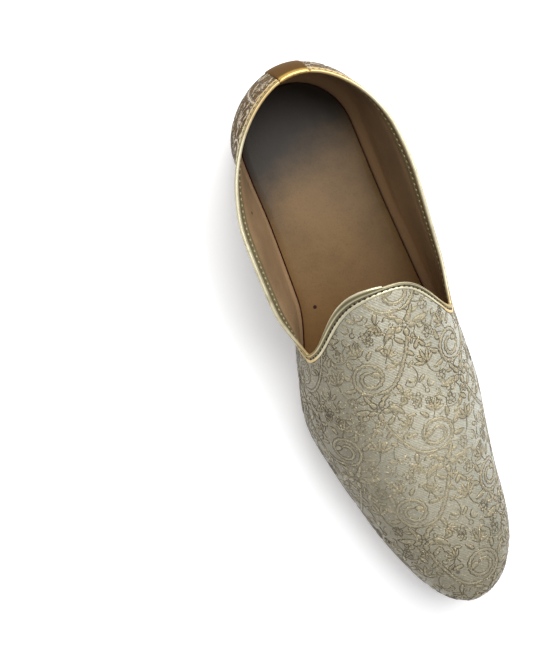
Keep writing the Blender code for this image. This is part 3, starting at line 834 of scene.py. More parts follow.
def node(kind, inputs, output=0, tree=None, **settings):
    """Adds a node beside those it reads, inputs given by name or number, and returns one of its outputs."""
    if tree is None:
        tree = next(value.id_data for value in inputs.values() if isinstance(value, bpy.types.NodeSocket))
    made = tree.nodes.new("ShaderNode" + kind)
    for name, value in settings.items():
        setattr(made, name, value)
    for name, value in inputs.items():
        link(value, made.inputs[name])
    return made.outputs[output]


def arithmetic(operation, *values):
    return node("Math", dict(enumerate(values)), operation=operation)


def scaled_plus(value, slope, start):
    return arithmetic("MULTIPLY_ADD", value, slope, start)


def soft_step(value, low, high):
    """0 at low and 1 at high, whichever of them is the larger."""
    inputs = {"Value": value, "From Min": low, "From Max": high}
    return node("MapRange", inputs, interpolation_type="SMOOTHSTEP")


def blend(factor, first, second, share=None, kind="MIX"):
    """The first colour covered by the second, by a factor and a share of it."""
    if share is not None:
        factor = arithmetic("MULTIPLY", factor, share)
    return node("MixRGB", {"Fac": factor, "Color1": first, "Color2": second}, blend_type=kind)


def noise(where, scale, detail=3.0, roughness=0.55):
    return node("TexNoise", {"Vector": where, "Scale": scale, "Detail": detail, "Roughness": roughness})


def cells(where, scale, channel):
    """A random number for each cell of a fine pattern."""
    colour = node("TexVoronoi", {"Vector": where, "Scale": scale, "Randomness": 1.0}, "Color")
    return node("SeparateColor", {"Color": colour}, channel)


def bump(height, distance, strength, under=None):
    inputs = {"Height": height, "Distance": distance, "Strength": strength}
    if under is not None:
        inputs["Normal"] = under
    return node("Bump", inputs)


def axis_of(place, axis):
    return node("SeparateXYZ", {"Vector": place}, axis)


def patch(base, place, size, colour, share=None):
    """A round patch of another colour. Its size is its centre, where it ends and where it is full."""
    centre, clear, full = size
    away = node("VectorMath", {0: place, 1: centre}, "Value", operation="DISTANCE")
    return blend(soft_step(away, clear, full), base, colour, share)


def scaled(colour, share):
    return tuple(value * share for value in colour)


def make_material(name, **constants):
    """A Principled material with its constant sockets set, its sockets, and places on the shoe."""
    material = bpy.data.materials.new(name)
    material.use_nodes = True
    shader = material.node_tree.nodes["Principled BSDF"].inputs
    for socket, value in constants.items():
        link(value, shader[socket.replace("_", " ").title().replace("Ior", "IOR")])
    return material, shader, node("TexCoord", {}, "Object", material.node_tree)


def painted_light_tone(place, tone, drift, colours):
    """A tone with its zones of painted sheen and shade, each blended towards its own colour, then painted
    shade round the back, and how far behind it lies.
    """
    axes = {axis: axis_of(place, axis) for axis in "XY"}
    for axis, clean, dirty, share, name in PAINTED_LIGHT_ZONES:
        reached = soft_step(arithmetic("ADD", axes[axis], drift), clean, dirty)
        tone = blend(reached, tone, colours[name], share)
    behind = arithmetic("ADD", scaled_plus(axes["X"], REAR_LEAN, axes["Y"]), drift)
    behind = soft_step(behind, REAR_START, REAR_END)
    return blend(behind, tone, colours["rear_shade"], 0.96), behind


def brocade_ground():
    """Silver-beige satin with a fine rib, tiny glints and a little soil, with painted sheen on the medial
    side and painted shade at the toe, the lateral side and the back.
    """
    cloth = bpy.context.scene.mojari_cloth
    material, shader, place = make_material("brocade_ground", metallic=0.3, sheen_roughness=0.4)
    where = node("UVMap", {}, 0, material.node_tree, uv_map="cloth")
    soil = noise(place, 26, 5)
    streak = noise(node("Mapping", {"Vector": where, "Scale": (1, 14, 1)}), 160, 3)
    tone = arithmetic("ADD", arithmetic("MULTIPLY", soil, 0.7), arithmetic("MULTIPLY", streak, 0.45))
    ground = blend(soft_step(tone, 0.38, 0.78), cloth.ground_light, cloth.ground_dark)
    # Painted sheen and shade: cooler on the medial side, darker at the toe and the lateral side, warm brown
    # round the back
    colours = {name: getattr(cloth, name) for name in ("medial_sheen", "darker", "rear_shade")}
    ground, behind = painted_light_tone(place, ground, scaled_plus(soil, 0.03, -0.015), colours)
    grain = cells(where, 2100, "Red")
    base = blend(cells(where, 1350, "Blue"), ground, (0.58, 0.58, 0.55), 0.55, "MULTIPLY")
    base = blend(soft_step(grain, 0.955, 0.985), base, cloth.glint, 0.6)
    base = blend(soft_step(grain, 0.10, 0.0), base, cloth.outline, 0.28)
    for mark in TOE_MARKS:
        base = patch(base, place, mark, srgb(70, 62, 52), 0.75)
    wave = {"Vector": where, "Scale": 380, "Distortion": 0.6, "Detail": 1.0}
    rib = node("TexWave", wave, "Fac", bands_direction="DIAGONAL")
    link(blend(rib, base, cloth.outline, 0.20), shader["Base Color"])
    # Round the back, where the colour is painted shade, the cloth also reflects less, browner and rougher
    link(scaled_plus(behind, -0.40, 0.50), shader["Specular IOR Level"])
    link(blend(behind, (1, 1, 1), srgb(112, 82, 42)), shader["Specular Tint"])
    link(scaled_plus(behind, -0.12, 0.12), shader["Sheen Weight"])
    link(scaled_plus(behind, 0.25, 0.42), shader["Roughness"])
    relief = bump(grain, 0.00005, 0.6, bump(rib, 0.00012, 0.6))
    link(bump(noise(place, 120, 2), 0.00025, 0.35, relief), shader["Normal"])
    return material


def vine_thread(name, colour, rear_shade, share, roughness):
    """Metal thread with glints along it."""
    cloth = bpy.context.scene.mojari_cloth
    material, shader, place = make_material(name, roughness=roughness, metallic=0.4, sheen_weight=0.1)
    grain = cells(place, 2300, "Green")
    tone = blend(soft_step(noise(place, 60, 3), 0.35, 0.75), colour, cloth.filling)
    # The thread darkens where the cloth has painted sheen and shade, and turns warm brown round the back as
    # painted shade
    darker = scaled(colour, THREAD_SHADE_SHARE)
    tone, _ = painted_light_tone(place, tone, 0.0, {"medial_sheen": darker, "darker": darker, "rear_shade": rear_shade})
    # Painted sheen: the threads pale towards the ground in the middle of the vamp
    tone = patch(tone, place, VAMP_SHEEN, srgb(188, 178, 150), 0.45)
    strand = noise(place, 1500, 2)
    tone = blend(soft_step(strand, 0.62, 0.42), tone, scaled(colour, 0.45), 0.42)
    link(blend(soft_step(grain, 1 - share, 1.0), tone, cloth.glint, 0.9), shader["Base Color"])
    link(bump(grain, 0.00008, 0.8, bump(strand, 0.0002, 0.7)), shader["Normal"])
    return material


def foiled_leather(name, **constants):
    """Gold foil on leather. Returns the material, its colour's socket, place, wear and fold's depth."""
    material, shader, place = make_material(name, **constants)
    relief = bump(noise(place, 1500, 3), 0.00005, 0.5)
    link(bump(noise(place, 260, 3), 0.00025, 0.4, relief), shader["Normal"])
    wear = soft_step(noise(place, 90, 5, 0.65), 0.46, 0.78)
    depth = node("Attribute", {}, "Fac", material.node_tree, attribute_name="fold_depth")
    return material, shader["Base Color"], place, wear, depth


def strap_leather():
    """Deep gold foil, with painted shade below the fold: darker brown there."""
    trim = bpy.context.scene.mojari_trim
    material, colour, _, wear, depth = foiled_leather(
        "gold_strap_leather", roughness=0.42, metallic=0.9, specular_tint=srgb(152, 132, 96)
    )
    base = blend(wear, trim.warm, trim.gold_worn, 0.5)
    # Painted shade: darker below the fold, on the strap's outer face
    link(blend(soft_step(depth, 0.4, 3.2), base, trim.strap_shade, 0.94), colour)
    return material


def binding_leather():
    """Pale gold foil with a bright rim and bead, dull beside its stitches, deeper at notches and back."""
    trim = bpy.context.scene.mojari_trim
    material, colour, place, wear, depth = foiled_leather(
        "gold_binding_leather", roughness=0.36, metallic=0.5, specular_tint=srgb(250, 226, 170),
        coat_weight=0.12, coat_roughness=0.2,
    )
    base = blend(wear, trim.gold, trim.gold_worn)
    for notch in read_rim(np.array([MEDIAL_NOTCH_PLACE, LATERAL_NOTCH_PLACE])):
        base = patch(base, place, (tuple(notch), NOTCH_CLEAR, NOTCH_FULL), trim.warm, 0.65)
    dull = arithmetic("MULTIPLY", soft_step(depth, 0.30, 0.75), soft_step(depth, 2.20, 1.90))
    channel = arithmetic("ABSOLUTE", arithmetic("SUBTRACT", depth, OUTER_STITCH_DEPTH * 1000))
    for factor, tone, share in (
        (soft_step(axis_of(place, "Y"), 0.108, 0.128), trim.warm, 0.8),
        (dull, trim.band, 0.92),
        (soft_step(channel, 0.36, 0.12), trim.outer_thread, 0.45),
        (soft_step(depth, 3.38, 3.58), trim.outer_thread, 0.85),
        (soft_step(depth, -0.5, -1.1), trim.facing, 0.90),
    ):
        base = blend(factor, base, tone, share)
    link(base, colour)
    return material


def grained_leather(name, colour, grain, gloss):
    """Leather with pores and soft patches. Returns the material, its colour's socket, place and colour."""
    material, shader, place = make_material(name, roughness=gloss, specular_ior_level=0.22)
    base = blend(soft_step(noise(place, 38, 5, 0.6), 0.35, 0.75), colour, scaled(colour, 0.72))
    pores = noise(place, grain, 3, 0.6)
    base = blend(soft_step(pores, 0.6, 0.8), base, scaled(colour, 0.6))
    link(base, shader["Base Color"])
    link(bump(noise(place, 300, 3), 0.0002, 0.3, bump(pores, 0.00008, 0.5)), shader["Normal"])
    return material, shader["Base Color"], place, base


def lining_leather():
    """Tan leather, with painted light low down, where it is made lighter, and one small dark mark on the
    lateral wall.
    """
    inside = bpy.context.scene.mojari_inside
    material, colour, place, base = grained_leather("lining_leather", inside.lining, 1400, 0.48)
    base = patch(base, place, LINING_MARK, srgb(48, 30, 22))
    # Painted light: the lining is made lighter low down
    link(blend(soft_step(axis_of(place, "Z"), 0.046, 0.022), base, scaled(inside.lining, 1.7), 0.85), colour)
    return material


def insole_leather():
    """Tan leather, with painted shade in front, a grey heel seat that is partly worn and partly painted
    shade, fine flecks and one dark mark.
    """
    inside = bpy.context.scene.mojari_inside
    material, colour, place, base = grained_leather("insole_leather", inside.insole, 1500, 0.45)
    along = axis_of(place, "Y")
    # Painted shade: deeper towards the front, under the vamp
    base = blend(soft_step(along, 0.062, 0.0), base, inside.insole_front_shade, 0.75)
    # The grey heel seat is partly dirt and partly painted shade
    seat = scaled_plus(noise(place, 34, 6, 0.62), 0.036, scaled_plus(axis_of(place, "X"), -0.36, along))
    base = blend(soft_step(seat, 0.098, 0.134), base, inside.dirt_and_shade, 0.96)
    base = blend(soft_step(noise(place, 900, 4, 0.7), 0.50, 0.66), base, inside.dirt_and_shade, 0.16)
    link(patch(base, place, INSOLE_MARK, srgb(30, 8, 10), 0.97), colour)
    return material


def plain_leather(name, colour, gloss):
    return grained_leather(name, colour, 1100, gloss)[0]


def thread(name, colour):
    material, shader, place = make_material(name, roughness=0.7, sheen_weight=0.04)
    fibre = noise(place, 2600, 2)
    link(blend(fibre, colour, scaled(colour, 0.6)), shader["Base Color"])
    link(bump(fibre, 0.00005, 0.7), shader["Normal"])
    return material


# The brocade's drawing, in millimetres


def turned(points, across, along, heading):
    """A motif drawn towards +X, turned to its heading and put in its place."""
    angle = math.radians(heading)
    spin = np.array([[math.cos(angle), math.sin(angle)], [-math.sin(angle), math.cos(angle)]])
    return np.asarray(points) @ spin + (across, along)


def moved(strokes, across=0.0, along=0.0, heading=0.0):
    return [(stroke, turned(points, across, along, heading), half) for stroke, points, half in strokes]


def spun(strokes, count):
    """Strokes repeated round the origin."""
    return [stroke for turn in range(count) for stroke in moved(strokes, heading=360 / count * turn)]


def through(points, step):
    """A smooth curve through charted points."""
    points = np.asarray(points, float)
    knots = along_line(points)
    fine = np.linspace(0, knots[-1], max(3, round(knots[-1] / step) + 1))
    return hermite(knots, points, np.gradient(points, knots, axis=0), fine)


def beside(points, offset):
    """A line a little to the left of another."""
    ahead = np.gradient(points, axis=0)
    ahead /= np.linalg.norm(ahead, axis=1)[:, None]
    return points + offset * np.stack([-ahead[:, 1], ahead[:, 0]], axis=1)


def drawn_leaf(length, width, bend):
    """A pointed leaf from the origin towards +X, bent to the left: its outline and its filling."""
    t = np.linspace(0, 1, 11)
    spine = np.stack([length * t, bend * length * t**2], axis=1)
    half = width / 2 * np.sin(np.pi * t**0.75) ** 0.8
    reach = (beside(spine, 1.0) - spine) * half[:, None]
    outline = even_line(np.concatenate([spine + reach, (spine - reach)[::-1]]), 2 + round(length * 3.2))
    return [("line", outline, None), ("fill", spine[1:-1], half[1:-1] * 0.8)]


def circle(radius, count):
    turn = np.linspace(0, 2 * np.pi, count)
    return radius * np.stack([np.cos(turn), np.sin(turn)], axis=1)


def drawn_motif(kind, size):
    """The strokes of one motif at the origin, heading to +X: stroke, points, half widths of a filling."""
    if kind == "leaf":
        return drawn_leaf(size, size * 0.42, 0.35)
    if kind == "flower":
        petals = spun(moved(drawn_leaf(size * 0.78, size * 0.52, 0.0), size * 0.26), 5)
        return petals + [("line", circle(size * 0.2, 9), None)]
    if kind == "rosette":
        return spun([("line", circle(size * 0.37, 8) + (size * 0.66, 0), None)], 5)
    if kind == "star":
        return spun(drawn_leaf(size, size * 0.36, 0.0), 4)
    if kind == "bud":
        stalk = np.array([(-size, 0), (size * 0.45, 0)])
        return [("line", circle(size * 0.55, 9) + (size, 0), None), ("line", stalk, None)]
    if kind == "curl":
        turn = np.linspace(0, 1.35 * np.pi, 9)
        radius = size * (0.35 + 0.65 * turn / turn[-1])
        curl = np.stack([radius * np.cos(turn), radius * np.sin(turn)], axis=1)
        return [("line", curl, None), ("fill", curl * 0.72, np.full(len(curl), size * 0.16))]
    strokes = [("line", through([(-size * 0.55, 0.3), (-size * 0.25, 0.1), (0, 0)], 0.7), None)]
    for heading, share in ((-62, 1.0), (-31, 1.12), (0, 1.25), (31, 1.12), (62, 1.0)):
        strokes += moved(drawn_leaf(size * share * 0.78, size * 0.24, 0.0), heading=heading)
    return strokes


def scroll():
    """The big scroll with a bud at its heart, at the repeat's centre."""
    turn = np.linspace(0, 1, 90)
    angle = math.radians(-100) + turn * 1.62 * 2 * np.pi
    radius = 9.0 * (1 - turn) ** 0.85 + 2.3 * turn
    spine = even_line(np.stack([radius * np.cos(angle), radius * np.sin(angle)], axis=1), 72)
    return band(spine) + moved(drawn_leaf(5.4, 3.2, 0.5), *spine[-1], math.degrees(angle[-1]) + 60)


def band(spine):
    """A stem: a filling between two toothed outlines."""
    half = bpy.context.scene.mojari_cloth.band_width * 500
    count = np.arange(len(spine))
    taper = np.clip(np.minimum(count, count[::-1]) / 6 + 0.35, 0, 1)[:, None]
    side = (beside(spine, half) - spine) * (1 + 0.32 * np.sin(count * 2 * np.pi / 3.2))[:, None] * taper
    outlines = [("line", spine + side, None), ("line", spine - side, None)]
    return outlines + [("fill", spine, half * 0.6 * taper[:, 0])]


def one_repeat():
    """All strokes of one repeat."""
    strokes = scroll()
    for kind, points in STEMS:
        curve = through(points, 0.75)
        strokes += band(curve) if kind == "band" else [("line", curve, None)]
    for row in MOTIFS:
        value = dict(zip(MOTIF_COLUMNS, row))
        motif = drawn_motif(value["kind"], value["size"])
        strokes += moved(motif, value["across"], value["along"], value["heading"])
    return strokes


def all_strokes():
    """The repeat laid over the whole cut cloth as bricks, every other row mirrored, in metres."""
    low = FLAT.reshape(-1, 2).min(axis=0) * 1000
    high = FLAT.reshape(-1, 2).max(axis=0) * 1000
    strokes = one_repeat()
    laid = []
    for row in range(math.floor(low[1] / REPEAT_HEIGHT) - 1, math.ceil(high[1] / REPEAT_HEIGHT) + 2):
        mirror = -1 if row % 2 else 1
        for column in range(math.floor(low[0] / REPEAT_WIDTH) - 1, math.ceil(high[0] / REPEAT_WIDTH) + 2):
            centre = np.array([(column + row % 2 / 2) * REPEAT_WIDTH, row * REPEAT_HEIGHT]) + REPEAT_ORIGIN
            for stroke, points, half in strokes:
                laid.append((stroke, (points * (mirror, 1) + centre) / 1000, half))
    return laid


def on_cloth(points, half, reach):
    """Runs of a stroke that lie on the cloth: places, normals and half widths."""
    runs = [[]]
    for index, (across, along) in enumerate(points):
        found = SKIN.from_flat(across, along, reach)
        if found is None:
            runs.append([])
        else:
            runs[-1].append((*found, 0 if half is None else half[index] / 1000))
    return [[np.array(column) for column in zip(*run)] for run in runs if len(run) > 1]


def ribbon(places, normals, half, height, sink, flat_top):
    """Rings of a low ridge along a line: a triangle, or a flat-topped ridge."""
    side = np.cross(normals, np.gradient(places, axis=0))
    side /= np.maximum(np.linalg.norm(side, axis=1), 1e-9)[:, None]
    reach = side * half[:, None]
    low = places - normals * sink
    high = places + normals * height
    crown = [high + reach * 0.7, high - reach * 0.7] if flat_top else [high]
    return np.stack([low + reach, *crown, low - reach], axis=1)


def joined(rings):
    """Points and faces of many ridges in one mesh."""
    points, faces, start = [], [], 0
    for ring in rings:
        length, count = ring.shape[:2]
        points.append(ring.reshape(-1, 3))
        faces += [tuple(start + i for i in face) for face in strip_faces(length, count)]
        start += length * count
    return np.concatenate(points), faces


# Operators


class MOJARI_OT_brocade(bpy.types.Operator):
    """The upper's outer layer of brocade, from the sole to the top edge"""

    bl_idname = "mojari.brocade"
    bl_label = "Brocade upper"

    def execute(self, context):
        wall = context.scene.mojari_cloth.wall
        points, faces = wall_between(SURFACE, SURFACE - INWARD * wall)
        piece = make_piece("brocade_upper", points, faces, brocade_ground(), "brocade", "upper")
        columns, rows = SURFACE.shape[:2]
        count = columns * rows
        layer = piece.data.uv_layers.new(name="cloth")
        for polygon in piece.data.polygons:
            corners = [(i % count) // rows for i in polygon.vertices]
            wraps = max(corners) - min(corners) > 1
            for loop, vertex in zip(polygon.loop_indices, polygon.vertices):
                column, row = divmod(vertex % count, rows)
                layer.data[loop].uv = FLAT[columns if wraps and column == 0 else column, row]
        return {"FINISHED"}


class MOJARI_OT_vines(bpy.types.Operator):
    """The raised vines, leaves and flowers of the brocade, in three pieces round the upper"""

    bl_idname = "mojari.vines"
    bl_label = "Brocade pattern"

    def execute(self, context):
        cloth = context.scene.mojari_cloth
        # The outline thread's dark brown round the back is painted shade
        outline = vine_thread("vine_outline", cloth.outline, srgb(72, 54, 32), 0.14, 0.42)
        filling = vine_thread("vine_filling", cloth.filling, cloth.rear_thread, 0.10, 0.38)
        split = LENGTH / 2 - NOTCH - NOTCH_LEAD
        rings = {}
        for stroke, points, half in all_strokes():
            drawn = stroke == "line"
            if drawn:
                points = even_line(points, max(2, math.ceil(along_line(points)[-1] / THREAD_STEP) + 1))
            for places, normals, halves in on_cloth(points, half, CLOTH_REACH):
                middle = places[len(places) // 2]
                region = "vamp" if middle[1] < split else ("medial" if middle[0] > 0 else "lateral")
                widths = np.full(len(places), cloth.thread_width / 2) if drawn else halves
                height = cloth.thread_height * (1 if drawn else FILLING_SHARE)
                ring = ribbon(places, normals, widths, height, THREAD_SINK, not drawn)
                rings.setdefault((region, stroke), []).append(ring)
        for (region, stroke), found in sorted(rings.items()):
            name = f"{region}_vine_{'outlines' if stroke == 'line' else 'filling'}"
            make_piece(name, *joined(found), outline if stroke == "line" else filling, "brocade", None)
        return {"FINISHED"}


class MOJARI_OT_lining(bpy.types.Operator):
    """The leather lining behind the brocade"""

    bl_idname = "mojari.lining"
    bl_label = "Lining"

    def execute(self, context):
        wall = context.scene.mojari_cloth.wall
        points, faces = wall_between(SURFACE - INWARD * wall, SURFACE - INWARD * UPPER_WALL)
        make_piece("lining", points, faces, lining_leather(), "lining_leather", "upper")
        return {"FINISHED"}


def read_rim(distance):
    """Places on the top edge at distances from the centre of the back, that may run past it."""
    wrapped = np.mod(distance, RIM_RUN[-1])
    return np.stack([np.interp(wrapped, RIM_RUN, RIM[:, i]) for i in range(3)], axis=1)


def rim_heading(distance, reach):
    """A place on the top edge and the way on from it."""
    before, here, after = (Vector(place) for place in read_rim(distance + np.array([-reach, 0, reach])))
    return here, (after - before).normalized()


def walk(start, ahead, depths):
    """Places and normals down the outer surface from its top edge, at the given depths."""
    here, normal = SKIN.nearest(start)
    found = []
    walked = 0.0
    for depth in depths:
        while depth - walked > 1e-7:
            step = min(depth - walked, WALK_STEP)
            down = normal.cross(ahead).normalized()
            here, normal = SKIN.nearest(here + down * step)
            walked += step
        found.append((np.array(here), np.array(normal)))
    return found


def fold_ring(distance, out_table, in_table, rise):
    """One cross-section of leather folded over the top edge."""
    here, ahead = rim_heading(distance, 0.002)
    ends = []
    for table in (out_table, in_table):
        depths = sorted({depth for depth, _ in table})
        places = walk(here, ahead, [depth / 1000 for depth in depths])
        ends.append((dict(zip(depths, places)), depths[-1] / 1000))
    (outer, out_end), (inner, in_end) = ends
    ring = [outer[d][0] + outer[d][1] * proud / 1000 for d, proud in out_table]
    walls = [UPPER_WALL * wall_share(depth / 1000) + proud / 1000 for depth, proud in in_table]
    back = [inner[depth][0] - inner[depth][1] * wall for (depth, _), wall in zip(in_table, walls)]
    place, normal = walk(here, ahead, [0])[0]
    up = np.cross(np.array(ahead), normal)
    up /= np.linalg.norm(up)
    middle = (ring[-1] + back[0]) / 2
    half = (ring[-1] - back[0]) / 2
    crown = (place - middle) @ up + rise / 1000
    turn = np.linspace(0, np.pi, RIM_POINTS + 2)[1:-1]
    arc = [middle + half * math.cos(a) + up * crown * math.sin(a) ** 0.8 for a in turn]
    hidden = []
    for depth in (in_end * HIDDEN_SHARE, HIDDEN_DEPTH):
        spot, lift = walk(here, ahead, [depth])[0]
        hidden.append(spot - lift * (UPPER_WALL * wall_share(depth) - HIDDEN_SINK))
    for depth in (HIDDEN_DEPTH, out_end * HIDDEN_SHARE):
        spot, lift = walk(here, ahead, [depth])[0]
        hidden.append(spot - lift * HIDDEN_SINK)
    return np.array(ring + arc + back + hidden)


def binding_share(distance):
    """How much of its full depth the binding has: it is narrow from the medial notch to the join."""
    into, out = (
        float(smooth(np.clip((distance - place) / reach, 0, 1)))
        for place, reach in ((MEDIAL_NOTCH_PLACE, NARROW_START), (JOIN_PLACE, NARROW_END))
    )
    return 1 - (1 - NARROW_SHARE) * into * (1 - out)


def binding_lap(distance):
    """How much further the rim stands up past the join, in millimetres."""
    if distance < JOIN_PLACE:
        return 0.0
    past = table_column(LAP, LAP_COLUMNS, "past")
    return float(np.interp(distance - JOIN_PLACE, past, table_column(LAP, LAP_COLUMNS, "rise")))


def folded_piece(name, points, faces, material, replaced, depths, times):
    """A piece of gold leather whose points know how deep below the fold they lie."""
    piece = make_piece(name, points, faces, material, "gold_leather", replaced)
    layer = piece.data.attributes.new("fold_depth", "FLOAT", "POINT")
    layer.data.foreach_set("value", np.tile(depths, times))
    in_edit_mode(piece, face_outwards)


class MOJARI_OT_binding(bpy.types.Operator):
    """Gold leather folded over the whole top edge, with its stitching channels"""

    bl_idname = "mojari.binding"
    bl_label = "Collar binding"

    def execute(self, context):
        start = context.scene.mojari_trim.strap_width / 2 + TRIM_GAP
        distances = np.linspace(start, RIM_RUN[-1] - start, BINDING_COUNT)
        rings = []
        for distance in np.sort(np.append(distances, (JOIN_PLACE - TRIM_GAP, JOIN_PLACE + TRIM_GAP))):
            share = binding_share(distance)
            out = [(depth * share, proud) for depth, proud in BINDING_OUT]
            rings.append(fold_ring(distance, out, BINDING_IN, RIM_RISE * share + binding_lap(distance)))
        depths = [depth for depth, _ in BINDING_OUT] + list(np.linspace(0.8, -0.8, RIM_POINTS))
        depths += [-depth for depth, _ in BINDING_IN] + [-1.0, -1.0, 1.0, 1.0]
        points = np.concatenate(rings)
        faces = strip_faces(len(rings), len(depths))
        folded_piece("gold_binding", points, faces, binding_leather(), "collar_binding", depths, len(rings))
        return {"FINISHED"}


class MOJARI_OT_strap(bpy.types.Operator):
    """Gold leather over the centre back, puckered where it folds over the top edge"""

    bl_idname = "mojari.strap"
    bl_label = "Heel strap"

    def execute(self, context):
        trim = context.scene.mojari_trim
        outside = np.linspace((along_line(SURFACE[0])[-1] - 0.0015) * 1000, 0.6, 44)
        inside = np.linspace(0.6, trim.strap_inside * 1000, 14)
        columns = []
        for share in np.linspace(-1, 1, 25):
            edge = math.sqrt(max(0, 1 - abs(share) ** 16))
            pucker = (0.16 * math.sin(share * 15) + 0.10 * math.sin(share * 27 + 1)) * (0.6 + 0.4 * share)
            out = [(d, 0.78 * edge + 0.3 * pucker * edge * math.exp(-d / 5)) for d in outside]
            back = [(d, 0.62 * edge + pucker * edge * math.exp(-d / 5)) for d in inside]
            ring = fold_ring(share * trim.strap_width / 2, out, back, RIM_RISE + 0.12 + 0.3 * pucker)
            columns.append(ring[:-4])
        front = np.array(columns)
        columns, rows = front.shape[:2]
        count = columns * rows
        faces = both_sides(ring_faces(columns, rows, False), count)
        loop = [column * rows + row for column, row in border_cells(columns, rows)]
        for here, there in zip(loop, loop[1:] + loop[:1]):
            faces.append((here, there, count + there, count + here))
        points = np.concatenate([front.reshape(-1, 3), (front + self.inward(front)).reshape(-1, 3)])
        depths = [*outside, *[0.0] * RIM_POINTS, *-inside]
        folded_piece("gold_heel_strap", points, faces, strap_leather(), "heel_strap", depths, 2 * columns)
        return {"FINISHED"}

    def inward(self, grid):
        """A thin leather's thickness, inwards."""
        normal = np.cross(np.gradient(grid, axis=0), np.gradient(grid, axis=1))
        return normal / np.linalg.norm(normal, axis=2)[..., None] * STRAP_LEATHER


class MOJARI_OT_stitches(bpy.types.Operator):
    """Dark stitches outside and pale ones inside the binding"""

    bl_idname = "mojari.stitches"
    bl_label = "Stitches"

    def execute(self, context):
        trim = context.scene.mojari_trim
        wipe_selection()
        bpy.ops.mesh.primitive_uv_sphere_add(segments=8, ring_count=6, radius=0.5)
        pattern = context.object
        shape = np.array([vertex.co for vertex in pattern.data.vertices])
        polygons = [tuple(polygon.vertices) for polygon in pattern.data.polygons]
        bpy.data.objects.remove(pattern)
        start = trim.strap_width / 2 + 0.002
        count = round((RIM_RUN[-1] - 2 * start) / trim.stitch_pitch)
        outer, inner = [], []
        for distance in np.linspace(start, RIM_RUN[-1] - start, count):
            here, ahead = rim_heading(distance, 0.001)
            place, normal = walk(here, ahead, [OUTER_STITCH_DEPTH * binding_share(distance)])[0]
            outer.append(self.stitch(shape, place + normal * 0.00016, normal, np.array(ahead)))
            place, normal = walk(here, ahead, [INNER_STITCH_DEPTH])[0]
            behind = UPPER_WALL * wall_share(INNER_STITCH_DEPTH) + 0.0003
            inner.append(self.stitch(shape, place - normal * behind, -normal, np.array(ahead)))
        for name, made, colour in (
            ("outer_stitches", outer, trim.outer_thread),
            ("inner_stitches", inner, trim.inner_thread),
        ):
            firsts = range(0, len(made) * len(shape), len(shape))
            faces = [tuple(first + i for i in polygon) for first in firsts for polygon in polygons]
            material = thread(name + "_thread", colour)
            piece = make_piece(name, np.concatenate(made), faces, material, "stitch_thread", None)
            in_edit_mode(piece, face_outwards)
        return {"FINISHED"}

    def stitch(self, shape, place, normal, ahead):
        """One stitch lying along the edge."""
        trim = bpy.context.scene.mojari_trim
        side = np.cross(normal, ahead)
        side /= np.linalg.norm(side)
        lean = ahead + side * 0.12
        return (
            place
            + shape[:, :1] * lean * trim.stitch_length
            + shape[:, 1:2] * side * trim.stitch_width
            + shape[:, 2:] * normal * trim.stitch_width * 0.55
        )


def layer_mesh(name, stations, inset, table, height, materials, slot, replaced, breast=None):
    """A flat layer whose edge follows a table from the top's rim to the bottom's, cut off at the breast."""
    layers = []
    cross = np.linspace(0, 1, 17)
    for extra, *levels in table:
        reach = stations if breast is None else np.append(stations, breast + 0.01)
        sides = (plan_line(side, reach, inset + extra) for side in (MEDIAL, LATERAL))
        medial, lateral = (line[:len(stations)] for line in sides)
        if breast is not None:
            medial[-1, 1] = lateral[-1, 1] = breast
        plan = medial[:, None] + (lateral - medial)[:, None] * cross[None, :, None]
        layers.append(to_space(plan[..., 0], plan[..., 1], height(plan[..., 0], plan[..., 1], *levels)))
    count, width = layers[0].shape[:2]
    border = border_cells(count, width)
    points = [layers[0].reshape(-1, 3), layers[-1].reshape(-1, 3)]
    faces = both_sides(ring_faces(count, width, False), count * width)
    flat_faces = len(faces)
    rings = [[column * width + row for column, row in border]]
    start = 2 * count * width
    for layer in layers[1:-1]:
        points.append(np.array([layer[cell] for cell in border]))
        rings.append(range(start, start + len(border)))
        start += len(border)
    rings.append([count * width + i for i in rings[0]])
    for upper, below in zip(rings, rings[1:]):
        for i in range(len(border)):
            j = (i + 1) % len(border)
            faces.append((upper[i], upper[j], below[j], below[i]))
    piece = make_piece(name, np.concatenate(points), faces, materials[0], slot, replaced)
    for material in materials[1:]:
        piece.data.materials.append(material)
        for polygon in piece.data.polygons[flat_faces:]:
            polygon.material_index = 1
    in_edit_mode(piece, lambda: bpy.ops.mesh.remove_doubles(threshold=2e-6), face_outwards)
    bpy.ops.object.shade_smooth_by_angle(angle=math.radians(50))


def insole_height(across, station, below):
    """The insole's height at a depth below its top, which the foot has hollowed."""
    height = bed(station) + GAP + INSOLE_THICKNESS - below
    for spot, wide, long, deep in HOLLOWS if below == 0 else ():
        away = (across * 1000 / wide) ** 2 + ((station * 1000 - spot) / long) ** 2
        height = height - deep / 1000 * np.exp(-away)
    return height


def sole_height(across, station, rise):
    return sole_lift(station) + rise


def heel_height(across, station, share, rise):
    return (sole_lift(station) - GAP * 0.3) * share + rise


class MOJARI_OT_insole(bpy.types.Operator):
    """The insole, softly hollowed by the foot, with a rounded edge"""

    bl_idname = "mojari.insole"
    bl_label = "Insole"

    def execute(self, context):
        inset = UNDERCUT + UPPER_WALL + INSOLE_CLEARANCE - 0.0005
        materials = insole_leather(), plain_leather("insole_seam", context.scene.mojari_inside.seam, 0.6)
        stations = end_spaced(0, LENGTH, 120)
        layer_mesh(
            "insole_sock", stations, inset, INSOLE_EDGE, insole_height, materials, "insole_leather", "insole"
        )
        return {"FINISHED"}


